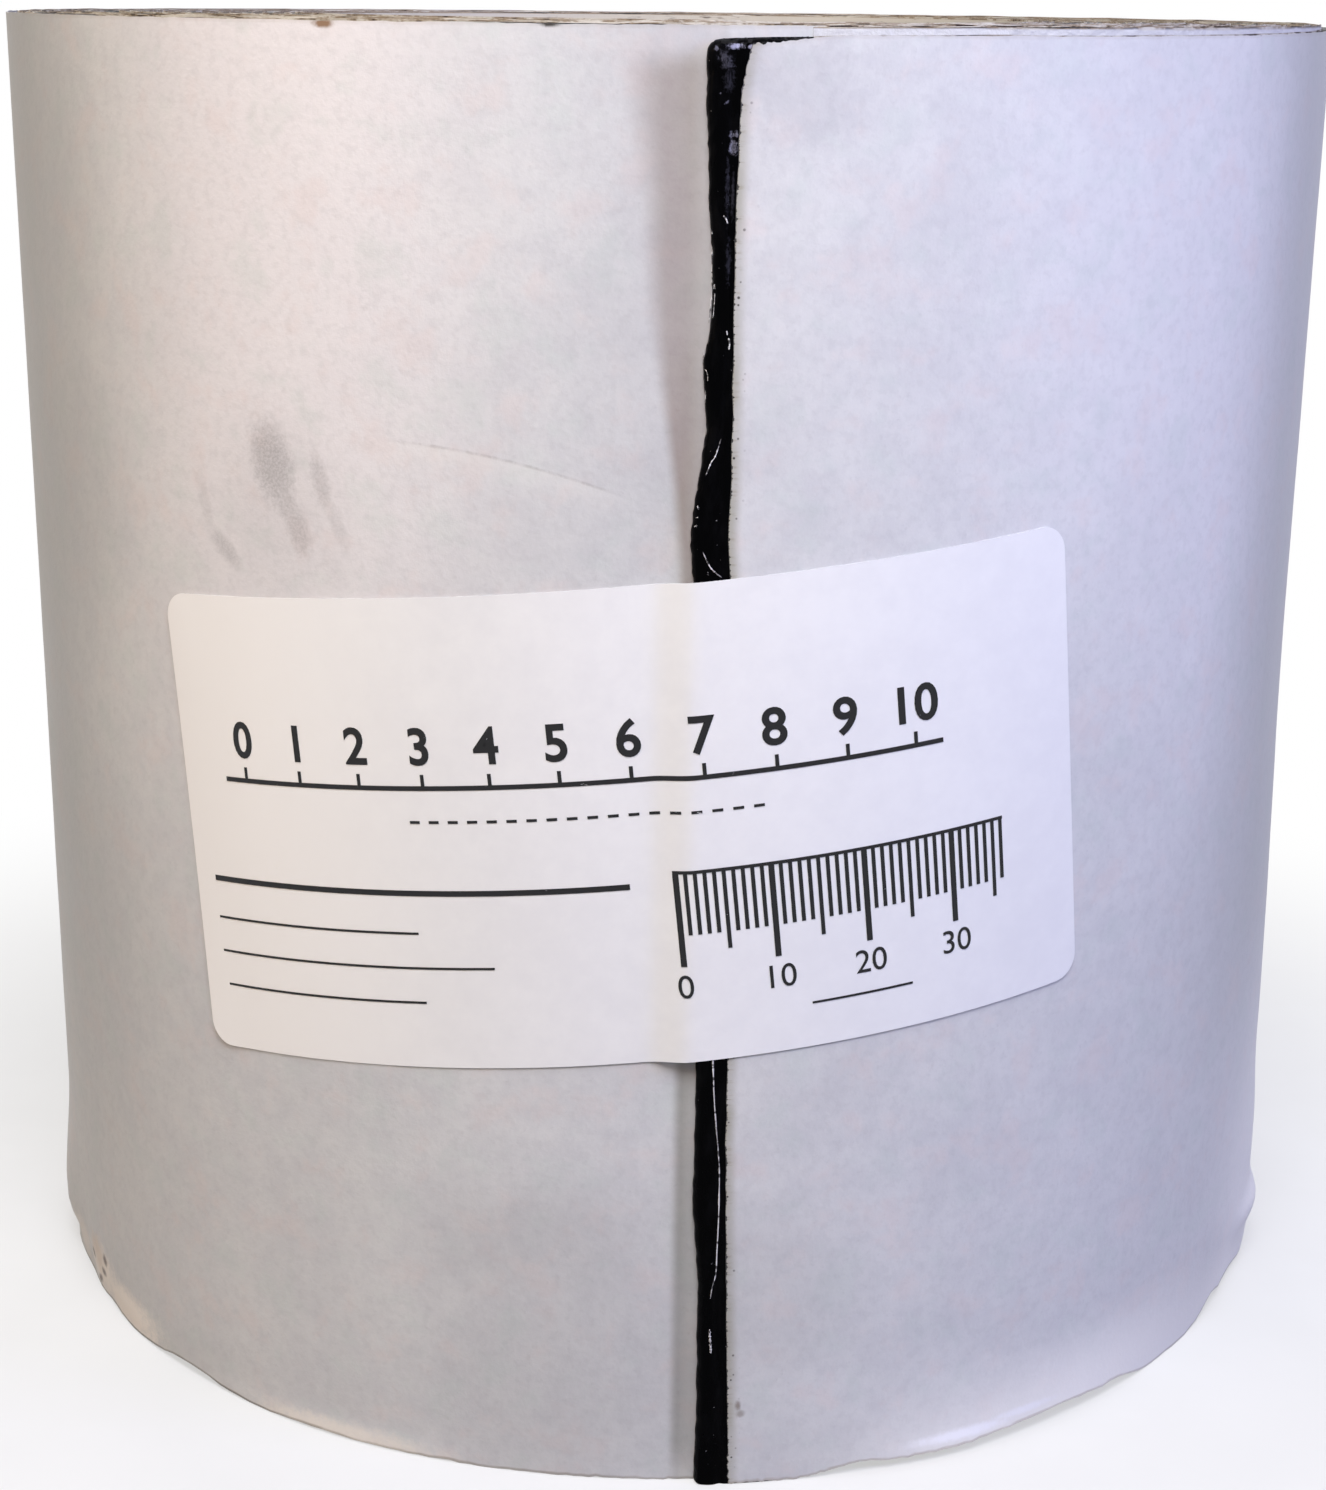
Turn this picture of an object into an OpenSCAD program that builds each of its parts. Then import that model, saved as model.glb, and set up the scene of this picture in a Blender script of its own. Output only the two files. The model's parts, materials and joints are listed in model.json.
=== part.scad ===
// A roll of self-adhesive roof sealing tape, standing on its end.
//
// The tape is a black sealing compound on a thin facing film, wound with the
// film inwards. A paper release liner covers the compound, so the liner is the
// outside of every turn. The last turn ends in a step with a bare strip of
// compound along it, and a paper label bridges the step and holds the tail.
//
// Frame: +Z up along the bore, origin on the bore's axis in the bottom end
// face, and the tail's step in the half plane x = 0, y < 0.

/* [Roll] */
// Width of the tape, which is the height of the standing roll
tape_w = 152.4; // [50:0.1:305]
// Outside diameter of the roll at the tail, measured over the liner
roll_d = 156.2; // [130:0.1:220]
// Diameter of the bore that is left inside the first turn
bore_d = 88.9; // [60:0.1:110]

/* [Tape] */
// Thickness of the facing film and the compound together
tape_t = 1.14; // [0.8:0.01:2]
// Thickness of the paper release liner
liner_t = 0.13; // [0.08:0.01:0.3]
// Width of the compound left bare between the tail's end and the liner's edge
bare_strip = 3.2; // [1.5:0.1:10]
// Radius of the rounded edge where the compound has crept over the tail's end
nose_r = 0.9; // [0.2:0.05:1]

/* [Ends] */
// Depth of the groove between two turns in the end faces
groove_depth = 0.6; // [0.2:0.05:1.5]
// Width of that groove at the end face
groove_w = 0.5; // [0.2:0.05:0.7]

/* [Label] */
// Length of the label round the roll
label_l = 101.6; // [40:0.1:120]
// Width of the label along the roll
label_w = 50.8; // [20:0.1:100]
// Thickness of the label paper with its glue
label_t = 0.12; // [0.08:0.01:0.3]
// Radius of the label's corners
label_corner = 3.2; // [1:0.1:8]
// Angle by which the label is stuck on askew, in degrees
label_tilt = 5.4; // [0:0.1:10]
// Distance of the label's centre from the tail's end, along the surface
label_offset = -9; // [-30:0.5:30]
// Height of the label's centre above the bottom end face
label_height = 73.5; // [60:0.5:90]
// Length over which the label comes down from the tail to the turn below
label_ramp = 7; // [4:0.5:14]

/* [Hidden] */
$fn = 144;

// One turn of tape and liner, which is the pitch of the winding.
pitch = tape_t + liner_t;
roll_r = roll_d / 2;
bore_r = bore_d / 2;
tape_r = roll_r - liner_t;

// The winding is drawn as half turns about two centres half a pitch apart.
// Each half turn is a true turned surface, and the two together close in by
// one pitch a turn, so they leave a step of one pitch at the tail.
half_shift = pitch / 2;
// The grooves stop this many turns short of the bore, whose wall stays whole.
plain_turns = 1.5;
grooves = floor((roll_r - bore_r) / pitch - plain_turns);

// How far a cutting shape runs past the face that it cuts.
past = 1;

// Label mesh: steps in each rounded corner, between the corners and across.
corner_step = 15;
length_steps = 36;
width_steps = 7;
// The glue line under the label.
label_gap = 0.02;

// Angle in degrees that a length along a surface of radius r covers.
function arc_angle(length, r) = length / r * 180 / PI;

// Rises smoothly from 0 at t = 0 to 1 at t = 1.
function smooth(t) = let (c = min(max(t, 0), 1)) c * c * (3 - 2 * c);

// One end face of a half turn, from the radius r_in to r_out. It lies at z = 0,
// has a groove at each joint between two turns, and `up` says which way is in.
function grooved_end(r_in, r_out, up) = [
    [r_in, 0],
    for (k = [grooves:-1:1])
        let (r = r_out + liner_t - k * pitch)
        each [[r - groove_w / 2, 0], [r, up * groove_depth], [r + groove_w / 2, 0]],
    [r_out, 0]
];

// Half a turn of the whole winding, counter-clockwise from the angle `from`.
// r_out is the radius of the tape's outer face.
module wound_half(r_out, from) {
    r_in = bore_r - pitch - past;
    bottom = grooved_end(r_in, r_out, 1);
    top = [for (p = grooved_end(r_in, r_out, -1)) [p[0], tape_w + p[1]]];
    rotate_extrude(angle = 180, start = from)
        polygon(concat(bottom, [for (i = [len(top) - 1:-1:0]) top[i]]));
}

// Takes the square edge off the tail, so that a rounded one is left.
module tail_rounding() {
    arc = [for (a = [0:10:90]) [nose_r * (1 - cos(a)), -tape_r + nose_r * (1 - sin(a))]];
    translate([0, 0, -past])
        linear_extrude(tape_w + 2 * past)
            polygon(concat(
                [[-past, -tape_r + nose_r]],
                arc,
                [[nose_r, -roll_r - past], [-past, -roll_r - past]]
            ));
}

module tape_roll() {
    color("#17171a")
    difference() {
        union() {
            wound_half(tape_r, -90);
            translate([0, half_shift, 0]) wound_half(tape_r - half_shift, 90);
        }
        translate([0, 0, -past]) cylinder(h = tape_w + 2 * past, r = bore_r);
        tail_rounding();
    }
}

// The liner on one half of a turn, seen along the bore. Its inner radius is r,
// and it lies on the side x > 0, or x < 0 where side is -1.
module liner_half(r, side) {
    big = 2 * roll_r;
    intersection() {
        difference() {
            circle(r + liner_t);
            circle(r);
        }
        translate([side > 0 ? 0 : -big, -big]) square([big, 2 * big]);
    }
}

// The sector over the bare strip, from the tail's end to the liner's edge.
module bare_sector() {
    big = 2 * roll_r;
    a = arc_angle(bare_strip, tape_r);
    polygon([[0, 0], [-past, -big], [big * tan(a), -big]]);
}

module release_liner() {
    color("#dcdce4")
    linear_extrude(tape_w)
        union() {
            difference() {
                liner_half(tape_r, 1);
                bare_sector();
            }
            translate([0, half_shift]) liner_half(tape_r - half_shift, -1);
        }
}

// The point at the distance s round the roll from the tail's end, at the height
// z and `lift` above the liner. Before the tail it ramps up onto the last turn.
function on_roll(s, z, lift) =
    s >= 0
        ? let (a = arc_angle(s, roll_r), r = roll_r + lift)
            [r * sin(a), -r * cos(a), z]
        : let (
            turn_r = roll_r - half_shift,
            a = arc_angle(s, turn_r),
            r = turn_r + pitch * smooth(1 + s / label_ramp) + lift
        ) [r * sin(a), half_shift - r * cos(a), z];

// The label's own lengthways stations, close together in its round corners.
function label_stations() = let (flat = label_l / 2 - label_corner) concat(
    [for (a = [90:-corner_step:corner_step]) -flat - label_corner * sin(a)],
    [for (i = [0:length_steps]) flat * (2 * i / length_steps - 1)],
    [for (a = [corner_step:corner_step:90]) flat + label_corner * sin(a)]
);

// Half the label's width at the station u.
function label_half_width(u) =
    let (into = max(abs(u) - label_l / 2 + label_corner, 0))
    label_w / 2 - label_corner + sqrt(max(label_corner ^ 2 - into ^ 2, 0));

// One face of the label, `lift` above the liner, as rows across the label.
function label_face(lift) = [
    for (u = label_stations(), j = [0:width_steps])
        let (v = label_half_width(u) * (2 * j / width_steps - 1))
        on_roll(
            label_offset + u * cos(label_tilt) - v * sin(label_tilt),
            label_height + u * sin(label_tilt) + v * cos(label_tilt),
            lift
        )
];

// The two triangles of the four-sided patch a, b, c, d.
function patch(a, b, c, d) = [[a, b, c], [a, c, d]];

module label() {
    inner = label_face(label_gap);
    outer = label_face(label_gap + label_t);
    rows = len(label_stations());
    n = width_steps + 1;
    base = rows * n;
    last = (rows - 1) * n;
    faces = [
        for (i = [0:rows - 2], j = [0:n - 2])
            let (a = i * n + j, b = a + n)
            each concat(
                patch(a, b, b + 1, a + 1),
                patch(base + a, base + a + 1, base + b + 1, base + b)
            ),
        for (i = [0:rows - 2])
            let (a = i * n, b = a + n, e = a + n - 1, f = b + n - 1)
            each concat(patch(a, base + a, base + b, b), patch(e, f, base + f, base + e)),
        for (j = [0:n - 2])
            each concat(
                patch(j, j + 1, base + j + 1, base + j),
                patch(last + j, base + last + j, base + last + j + 1, last + j + 1)
            )
    ];
    color("#f4f4f6") polyhedron(points = concat(inner, outer), faces = faces);
}

tape_roll();
release_liner();
label();
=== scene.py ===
# %% [markdown]
# # A roll of roof sealing tape
#
# The roll stands on its end. It is one long strip of black sealing compound
# on a thin white film, wound with the film inwards, so that the release
# liner of white paper is always on the outside. The last turn ends in a step
# with a bare strip of compound beside it, and a paper label bridges the step.
#
# Every surface here is a grid of points worked out with numpy from a formula,
# in metres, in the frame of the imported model. Nothing is modelled by hand,
# so that each number can be changed and the roll made again.

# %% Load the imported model
import json
import math

import bmesh
import bpy
import numpy as np
from mathutils import Matrix, Vector


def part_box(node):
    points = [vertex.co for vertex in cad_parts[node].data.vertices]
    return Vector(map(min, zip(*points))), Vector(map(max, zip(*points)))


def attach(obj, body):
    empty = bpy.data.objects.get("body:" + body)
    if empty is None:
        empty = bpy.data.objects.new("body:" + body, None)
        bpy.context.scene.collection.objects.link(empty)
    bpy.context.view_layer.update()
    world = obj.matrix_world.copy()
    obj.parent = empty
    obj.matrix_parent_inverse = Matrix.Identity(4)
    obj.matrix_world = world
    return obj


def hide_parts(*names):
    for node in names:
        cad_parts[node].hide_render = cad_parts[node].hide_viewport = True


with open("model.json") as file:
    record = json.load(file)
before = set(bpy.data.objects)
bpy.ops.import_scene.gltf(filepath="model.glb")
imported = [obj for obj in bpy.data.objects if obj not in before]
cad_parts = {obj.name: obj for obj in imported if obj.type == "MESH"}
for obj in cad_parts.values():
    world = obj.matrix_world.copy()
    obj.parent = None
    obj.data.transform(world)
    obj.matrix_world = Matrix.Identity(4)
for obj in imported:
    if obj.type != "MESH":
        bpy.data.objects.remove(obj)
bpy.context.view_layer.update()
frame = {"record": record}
mm = 0.001
mounts = {m["name"]: m for m in frame["record"]["mounts"]}

# %% [markdown]
# ## Sizes of the strip and of the roll
#
# The outside radius, the width of the tape and the bore come from the packed
# model. The layers of the strip are thinner than a millimetre, and together
# they make the pitch, which is how much the radius shrinks in one turn.

# %% Sizes
roll_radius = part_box("release_liner")[1].y
tape_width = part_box("tape_roll")[1].z
bore_radius = mounts["bore"]["dims"]["r_mm"] * mm
liner_thickness = 0.13 * mm
film_thickness = 0.05 * mm
pitch = 1.27 * mm
compound_radius = roll_radius - liner_thickness
turns = (roll_radius - bore_radius) / pitch
turn_length = 2 * math.pi * roll_radius
print(f"radius {roll_radius / mm:.2f} mm, {turns:.1f} turns of {pitch / mm:.2f} mm")

# %% [markdown]
# ## The line that the winding follows
#
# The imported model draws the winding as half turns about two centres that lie
# half a pitch apart. Each half turn is a true arc, and after two of them the
# radius is one pitch smaller. The same rule is used here, so that the new
# surfaces lie on the solids. Lengths round the roll are counted from the
# tail's end, to the right as the label is seen.


# %% The winding
def wound(radius, angle):
    """Place in plan of a point on the winding.

    The angle starts at the tail, on the side -Y, and runs counter-clockwise.
    Each whole turn takes one pitch off the radius. In the first half turn
    the point is (r sin a, -r cos a). In the second half the radius is half
    a pitch less and the centre half a pitch further along +Y.
    """
    whole = np.floor(angle / (2 * np.pi))
    rest = angle - 2 * np.pi * whole
    shift = np.where(rest > np.pi, pitch / 2, 0.0)
    r = radius - whole * pitch - shift
    return r * np.sin(rest), shift - r * np.cos(rest)


def smooth(t):
    """Rises from 0 to 1 as t goes from 0 to 1: 3 t^2 - 2 t^3, flat outside."""
    t = np.clip(t, 0, 1)
    return t * t * (3 - 2 * t)


def bump(x, centre, width):
    """A hill of height 1 at the centre that falls off as exp(-(d / width)^2)."""
    return np.exp(-(((x - centre) / width) ** 2))


def signed(length):
    """A length round the roll, counted the short way: more than half way
    round, it is a negative length to the left of the tail."""
    return np.where(length > turn_length / 2, length - turn_length, length)


print("the tail's end is at", [float(n) for n in wound(roll_radius, np.array(0.0))])


# %% [markdown]
# ## Unevenness
#
# Nothing on a wound roll is quite even. Two kinds of unevenness do for all of
# it: a ripple along one line, and a cloud over a surface. Both are sums of
# sine waves whose directions and phases come from a seeded generator, so
# they are smooth, have a known size and are the same on every run.


# %% Ripples and clouds
def ripple(x, wavelength, seed, waves=7):
    """Uneven line: the sum of sines whose wavelengths lie from 0.5 to 1.8
    times the given one, each with its own phase, divided by the root of how
    many there are, so that it mostly stays between -1 and 1."""
    rng = np.random.default_rng(seed)
    lengths = wavelength * rng.uniform(0.5, 1.8, waves)
    phases = rng.uniform(0, 2 * np.pi, waves)
    total = sum(np.sin(2 * np.pi * x / k + p) for k, p in zip(lengths, phases))
    return total / math.sqrt(waves)


def cloud(x, y, size, seed, waves=18):
    """Uneven surface: the same sum, of waves that run in all directions."""
    rng = np.random.default_rng(seed)
    turn = rng.uniform(0, 2 * np.pi, waves)
    number = 2 * np.pi / (size * rng.uniform(0.6, 1.8, waves))
    phases = rng.uniform(0, 2 * np.pi, waves)
    total = sum(
        np.sin(k * (x * np.cos(t) + y * np.sin(t)) + p)
        for k, t, p in zip(number, turn, phases)
    )
    return total / math.sqrt(waves)


trial = ripple(np.linspace(0, 1, 500), 0.05, 1)
print(f"a ripple goes from {trial.min():.2f} to {trial.max():.2f}, mostly {trial.std():.2f}")


# %% [markdown]
# ## From grids of points to meshes
#
# A sheet of paper is two grids, one for each face, joined round the rim. The
# helper below takes both faces as arrays of shape (rows, columns, 3) and puts
# the whole closed shell into a mesh at once. It also keeps the flat position
# of every point, in metres, as a UV map, so that a pattern can follow the
# paper round the roll as if it had been printed before winding.


# %% Mesh helpers
def make_object(name, points, faces, smooth_below=40):
    """Puts points and faces, which may be arrays or lists, into a new object."""
    mesh = bpy.data.meshes.new(name)
    mesh.from_pydata(np.asarray(points).tolist(), [], [list(f) for f in faces])
    mesh.validate()
    mesh.shade_smooth()
    mesh.set_sharp_from_angle(angle=math.radians(smooth_below))
    piece = bpy.data.objects.new(name, mesh)
    bpy.context.scene.collection.objects.link(piece)
    return piece


def set_uv(piece, layer, per_point):
    """Writes one (u, v) pair for each point into a UV map."""
    mesh = piece.data
    corner = np.zeros(len(mesh.loops), np.int32)
    mesh.loops.foreach_get("vertex_index", corner)
    uv = mesh.uv_layers.new(name=layer)
    uv.data.foreach_set("uv", np.asarray(per_point, np.float32)[corner].ravel())


def grid_faces(rows, columns, first=0):
    """Corner numbers of the four-sided faces between neighbours in a grid."""
    i, j = np.meshgrid(np.arange(rows - 1), np.arange(columns - 1), indexing="ij")
    a = first + i * columns + j
    return np.stack([a, a + 1, a + columns + 1, a + columns], -1).reshape(-1, 4)


def rim_of(rows, columns):
    """Numbers of a grid's outermost points, once round in order."""
    n = np.arange(rows * columns).reshape(rows, columns)
    return np.concatenate([n[0, :-1], n[:-1, -1], n[-1, :0:-1], n[:0:-1, 0]])


def sheet_faces(rows, columns):
    """Faces of a closed shell: the outer grid, the inner grid turned over,
    and a band that joins the two rims."""
    count = rows * columns
    outer = grid_faces(rows, columns)
    inner = grid_faces(rows, columns, count)[:, ::-1]
    rim = rim_of(rows, columns)
    after = np.roll(rim, -1)
    band = np.stack([after, rim, rim + count, after + count], -1)
    return np.concatenate([outer, inner, band])


def triangles(piece):
    """How many triangles the piece has, which every piece reports."""
    return sum(len(p.vertices) - 2 for p in piece.data.polygons)


# %% [markdown]
# ## How the last turn ends
#
# The strip was cut off with a blade, so the liner's edge is nearly straight,
# but the compound has crept past it in the warm and makes a rounded, wavy
# bead. The last turn has also slipped down a little on the one below, so its
# top edge lies a millimetre lower near the tail. These lines are used by more
# than one piece, and so they come first.


# %% Lines round the tail
def liner_edge(z):
    """Where the liner ends, as a length from the tail's end. It leans a
    little to the right towards the bottom and is frayed by the blade."""
    up = z / tape_width
    lean = (4.73 - 4.28 * up + 2.34 * up**2 + 2.3 * np.exp((up - 1) / 0.021)) * mm
    wander = 0.15 * bump(z, 141 * mm, 4 * mm)
    wander = wander - 0.22 * bump(z, 105 * mm, 3 * mm) - 0.2 * smooth((50 * mm - z) / (8 * mm))
    fray = 0.03 * ripple(z, 9 * mm, 11) + 0.03 * ripple(z, 1.6 * mm, 12)
    fray = fray + 0.03 * ripple(z, 0.7 * mm, 13)
    return lean + (wander + fray) * mm


def bead_edge(z):
    """Where the bead of compound meets the turn below, as a length from the
    tail's end: a slow S with small waves on it."""
    slow = 0.30 + 0.75 * bump(z, 16 * mm, 26 * mm) + 0.50 * bump(z, 131 * mm, 9 * mm)
    slow = slow - 1.0 * bump(z, 104 * mm, 11 * mm) - 0.4 * smooth((z - 141 * mm) / (8 * mm))
    slow = slow - 0.42 * bump(z, 34 * mm, 9 * mm) - 0.20 * bump(z, 138 * mm, 6 * mm)
    slow = slow + 0.36 * bump(z, 115.5 * mm, 3 * mm) - 0.2 * bump(z, 105 * mm, 2 * mm)
    slow = slow - 0.25 * bump(z, 122 * mm, 2 * mm)
    waves = 0.07 * ripple(z, 12 * mm, 21) + 0.04 * ripple(z, 3 * mm, 22)
    nicks = 0.035 * ripple(z, 1.1 * mm, 23) * smooth((z - 40 * mm) / (20 * mm))
    return (slow + waves + nicks) * mm


def slipped(length):
    """How far the last turn's top edge lies below the top of the roll, from
    the length round the roll since the tail's end."""
    near = 0.48 * (1 - smooth((length - 3 * mm) / (12 * mm)))
    far = 0.87 * (1 - smooth((length - 45 * mm) / (120 * mm)))
    return (near + far) * mm


def knocked(length, z):
    """How far the roll's lower edge has been knocked in, on the left: the
    depth times a window round the roll times a bevel up from the floor."""
    length = signed(length)
    window = smooth((length + 122 * mm) / (12 * mm)) * smooth((-76 * mm - length) / (10 * mm))
    uneven = 0.85 + 0.25 * ripple(length, 17 * mm, 27)
    bevel = smooth(1 - z / (8.0 * mm + 1.2 * mm * ripple(length, 25 * mm, 28)))
    return 0.5 * mm * window * uneven * bevel


def raised(length):
    """How far the outer turns stand off the floor, as a sum of hills: most of
    all on the right, where the roll has run a little to one side along its
    bore, and a little on the left."""
    length = signed(length)
    level = 0.75 * smooth((length - 11 * mm) / (6 * mm)) * (
        1 - smooth((length - 57 * mm) / (5 * mm)))
    level = level + 0.4 * bump(length, 19.5 * mm, 2.5 * mm) + 0.9 * bump(length, 44 * mm, 8.5 * mm)
    level = level + 0.3 * bump(length, 55 * mm, 3 * mm) + 1.6 * bump(length, 80.5 * mm, 4.2 * mm)
    level = level + 0.8 * smooth((length - 84 * mm) / (3 * mm)) * (
        1 - smooth((length - 90 * mm) / (10 * mm)))
    return (level + 0.9 * bump(length, -64 * mm, 6.5 * mm)) * mm


print("bead from", bead_edge(np.linspace(0, tape_width, 5)) / mm)

# %% [markdown]
# ## The turns
#
# On the ends the roll shows its turns: a dark band of compound, then the thin
# edges of the film and of the next turn's liner, which stand a little proud
# because paper and film don't creep. One row of the grid follows the winding
# at each of these places, seven rows to a turn.
#
# A row that has gone once round arrives one pitch further in, which is where
# the row seven places further in began. So the last column of faces joins
# row i to row i + 7 of the first column, and the whole end is one spiral
# surface with no seam. The outermost turn ends in a flat step, a little
# behind the bead that covers it.

# %% Rows of one turn
columns = 220
step_back = 10.0 * mm
step_angle = step_back / roll_radius
# Places across one turn, from the compound's outer face inwards.
film_from = 1 - (liner_thickness + film_thickness) / pitch
liner_from = 1 - liner_thickness / pitch
places = np.array([0.0, 0.42, film_from - 0.015, film_from, liner_from - 0.008,
                   liner_from + 0.008, 0.99])
# How far each place lies back from the end plane, and whose turn it is.
setback = np.array([0.30, 0.13, 0.30, 0.03, 0.03, 0.0, 0.0]) * mm
next_turn = np.array([0, 0, 0, 0, 0, 1, 1])
per_turn = len(places)
rows = int((compound_radius - bore_radius) / pitch * per_turn) - 1
print(rows, "rows of", columns, "points on each end")


# %% Heights of the ends
def end_setback(row, angle, seed):
    """How far a point of an end lies back from the end plane. The winding
    tension lets each turn wander along the bore by a few tenths, which is a
    ripple in the angle counted along the whole strip."""
    along = angle + 2 * np.pi * (row // per_turn + next_turn[row % per_turn])
    wander = 0.14 * mm * (1 + ripple(along, 5.3, seed))
    ragged = 0.05 * mm * (1 + ripple(along, 0.21, seed + 1))
    # Here and there the compound has crept out past the paper's edge.
    crept = 0.30 * mm * np.maximum(ripple(along, 1.1, seed + 2) - 0.2, 0)
    crept = np.where(row % per_turn == 1, crept, 0)
    return setback[row % per_turn] + np.maximum(wander + ragged - crept, 0)


def end_grid(seed, top):
    """Points of one end as an array (row, column, xyz), with one extra turn
    of rows, of which only the first column is used."""
    row, column = np.meshgrid(
        np.arange(rows + per_turn + 1), np.arange(columns), indexing="ij"
    )
    angle = step_angle + 2 * np.pi * column / columns
    inward = pitch * (row // per_turn + places[row % per_turn])
    radius = compound_radius - inward
    back = end_setback(row, angle, seed)
    if not top:
        radius = radius - knocked(angle * roll_radius, 0) * np.exp(-inward / (4 * mm))
    x, y = wound(radius, angle)
    if top:
        last_turn = row < per_turn - 2
        length = angle * roll_radius
        back = back + np.where(last_turn, slipped(length), 0)
        # Near the tail the compound has crept up out of the last turn.
        crept = 0.25 * mm * np.exp(-((length / (12 * mm)) ** 2))
        crept = crept * (1 + 0.35 * ripple(length, 0.7 * mm, 44))
        back = back - np.where(row < 3, crept, 0)
        return np.stack([x, y, tape_width - back], -1)
    # In three places the compound has sunk, and shows below its paper's edge.
    length = angle * roll_radius
    left = turn_length - length
    sunk = smooth((left - 28 * mm) / (8 * mm)) * (1 - smooth((left - 44 * mm) / (6 * mm)))
    sunk = sunk + smooth((left - 76 * mm) / (6 * mm)) * (1 - smooth((left - 86 * mm) / (6 * mm)))
    sunk = 0.35 * mm * (sunk + bump(length, 29 * mm, 7 * mm))
    back = np.where(row < 3, np.maximum(back - sunk, 0), back)
    back = back + raised(angle * roll_radius) * np.exp(-inward / (10 * mm))
    return np.stack([x, y, back], -1)


# %% The bore's wall
def bore_grid(levels=16):
    """Points of the bore's wall, as an array (level, column, xyz). The first
    turn lies in flat stretches between faint vertical buckles."""
    level, column = np.meshgrid(np.arange(levels + 1), np.arange(columns), indexing="ij")
    angle = step_angle + 2 * np.pi * column / columns
    share = level / levels
    z = tape_width * share + 0.3 * mm * (1 - 2 * share)
    buckle = 0.12 * mm * ripple(angle * 18, 7.0, 31) * (0.6 + 0.4 * np.sin(share * 9))
    r = bore_radius + np.maximum(buckle, 0)
    return np.stack([r * np.sin(angle), -r * np.cos(angle), z], -1)


# %% Join the two ends, the bore and the outside
def spiral_faces(first, upwards):
    """Faces of one end. In the last column, row i meets row i + 7."""
    i, j = np.meshgrid(np.arange(rows - 1), np.arange(columns), indexing="ij")
    wrap = j == columns - 1
    a = first + i * columns + j
    b = np.where(wrap, first + (i + per_turn) * columns, a + 1)
    quads = np.stack([a, b, b + columns, a + columns], -1).reshape(-1, 4)
    u = np.stack([i, i, i + 1, i + 1], -1).reshape(-1, 4)
    v = np.stack([j, j + 1, j + 1, j], -1).reshape(-1, 4)
    if not upwards:
        quads, u, v = quads[:, ::-1], u[:, ::-1], v[:, ::-1]
    return quads, u, v


def build_turns():
    """The whole wound body as one closed mesh."""
    top, bottom, bore = end_grid(41, True), end_grid(51, False), bore_grid()
    levels = len(bore)
    size = (rows + per_turn + 1) * columns
    points = np.concatenate([g.reshape(-1, 3) for g in (top, bottom, bore)])
    bore_first = 2 * size
    top_quads, top_u, top_v = spiral_faces(0, True)
    low_quads, low_u, low_v = spiral_faces(size, False)

    # The ring between the innermost row and the bore's wall.
    j = np.arange(1, columns)
    inner = (rows - 1) * columns
    inner_next = np.append(inner + j[1:], inner + per_turn * columns)
    bore_top = bore_first + (levels - 1) * columns
    ring_top = np.stack([inner + j, inner_next, bore_top + (j + 1) % columns, bore_top + j], -1)
    ring_low = np.stack([size + inner + j, bore_first + j,
                         bore_first + (j + 1) % columns, size + inner_next], -1)
    steps = [inner + k * columns for k in range(per_turn + 1)]
    start_top = [bore_top + 1, bore_top] + steps[::-1] + [inner + 1]
    start_low = [size + inner + 1] + [size + n for n in steps] + [bore_first, bore_first + 1]

    # The bore's wall, seen from inside.
    level, column = np.meshgrid(np.arange(levels - 1), np.arange(columns), indexing="ij")
    a = bore_first + level * columns + column
    b = bore_first + level * columns + (column + 1) % columns
    wall = np.stack([a, a + columns, b + columns, b], -1).reshape(-1, 4)

    # The outside under the liner, and the step at the tail.
    j = np.arange(columns)
    j_next = np.append(j[1:], per_turn * columns)
    outside = np.stack([size + j, size + j_next, j_next, j], -1)
    k = np.arange(per_turn) * columns
    step = np.stack([size + k + columns, size + k, k, k + columns], -1)
    faces = [top_quads, low_quads, ring_top, ring_low, wall, outside, step]
    return points, faces, [start_top, start_low], (top_u, low_u), (top_v, low_v)


points, face_groups, start_faces, rows_u, rows_v = build_turns()
face_list = np.concatenate(face_groups).tolist() + start_faces
used, renumber = np.unique(np.concatenate([np.ravel(f) for f in face_list]), return_inverse=True)
sizes = np.array([len(f) for f in face_list])
parts = np.split(renumber, np.cumsum(sizes)[:-1])
turns_piece = make_object("tape_turns", points[used], parts, 60)
print("tape_turns:", triangles(turns_piece), "triangles in", rows, "rows")

# %% [markdown]
# Each face of an end also gets a UV map that is unrolled: u counts the turns
# from the outside, so that its fraction says which layer of the strip is
# seen, and v counts the turns along the strip, so that streaks run with it.

# %% The turns' own map
def turns_map():
    """(u, v) of every corner. u = whole turn + place across it, and v = share
    of the way round + the whole turns before it."""
    u_rows, v_rows = np.concatenate(rows_u), np.concatenate(rows_v)
    u = u_rows // per_turn + places[u_rows % per_turn]
    # The last place of a turn is followed by the first of the next.
    v = v_rows / columns + u_rows // per_turn
    rest = sizes.sum() - u.size
    u = np.concatenate([u.ravel(), np.full(rest, 0.5)])
    v = np.concatenate([v.ravel(), np.zeros(rest)])
    return np.stack([u, v], -1)


strip_uv = turns_piece.data.uv_layers.new(name="strip")
strip_uv.data.foreach_set("uv", turns_map().astype(np.float32).ravel())
wall_first = sum(len(g) for g in face_groups[:4])
wall_last = wall_first + len(face_groups[4])
print("bore wall: faces", wall_first, "to", wall_last)

# %% [markdown]
# ## The bead of compound at the tail
#
# The compound is soft, so where the blade cut it the edge has swelled into a
# rounded bead that rests on the turn below. The piece is one cross-section
# carried up the roll: flat under the liner, a shallow valley where the liner
# once ended, a crown, and a round nose down to the turn below. Its width and
# the place of its valley change slowly with height. At the top the section
# shrinks, so that the end is rounded too.


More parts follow.
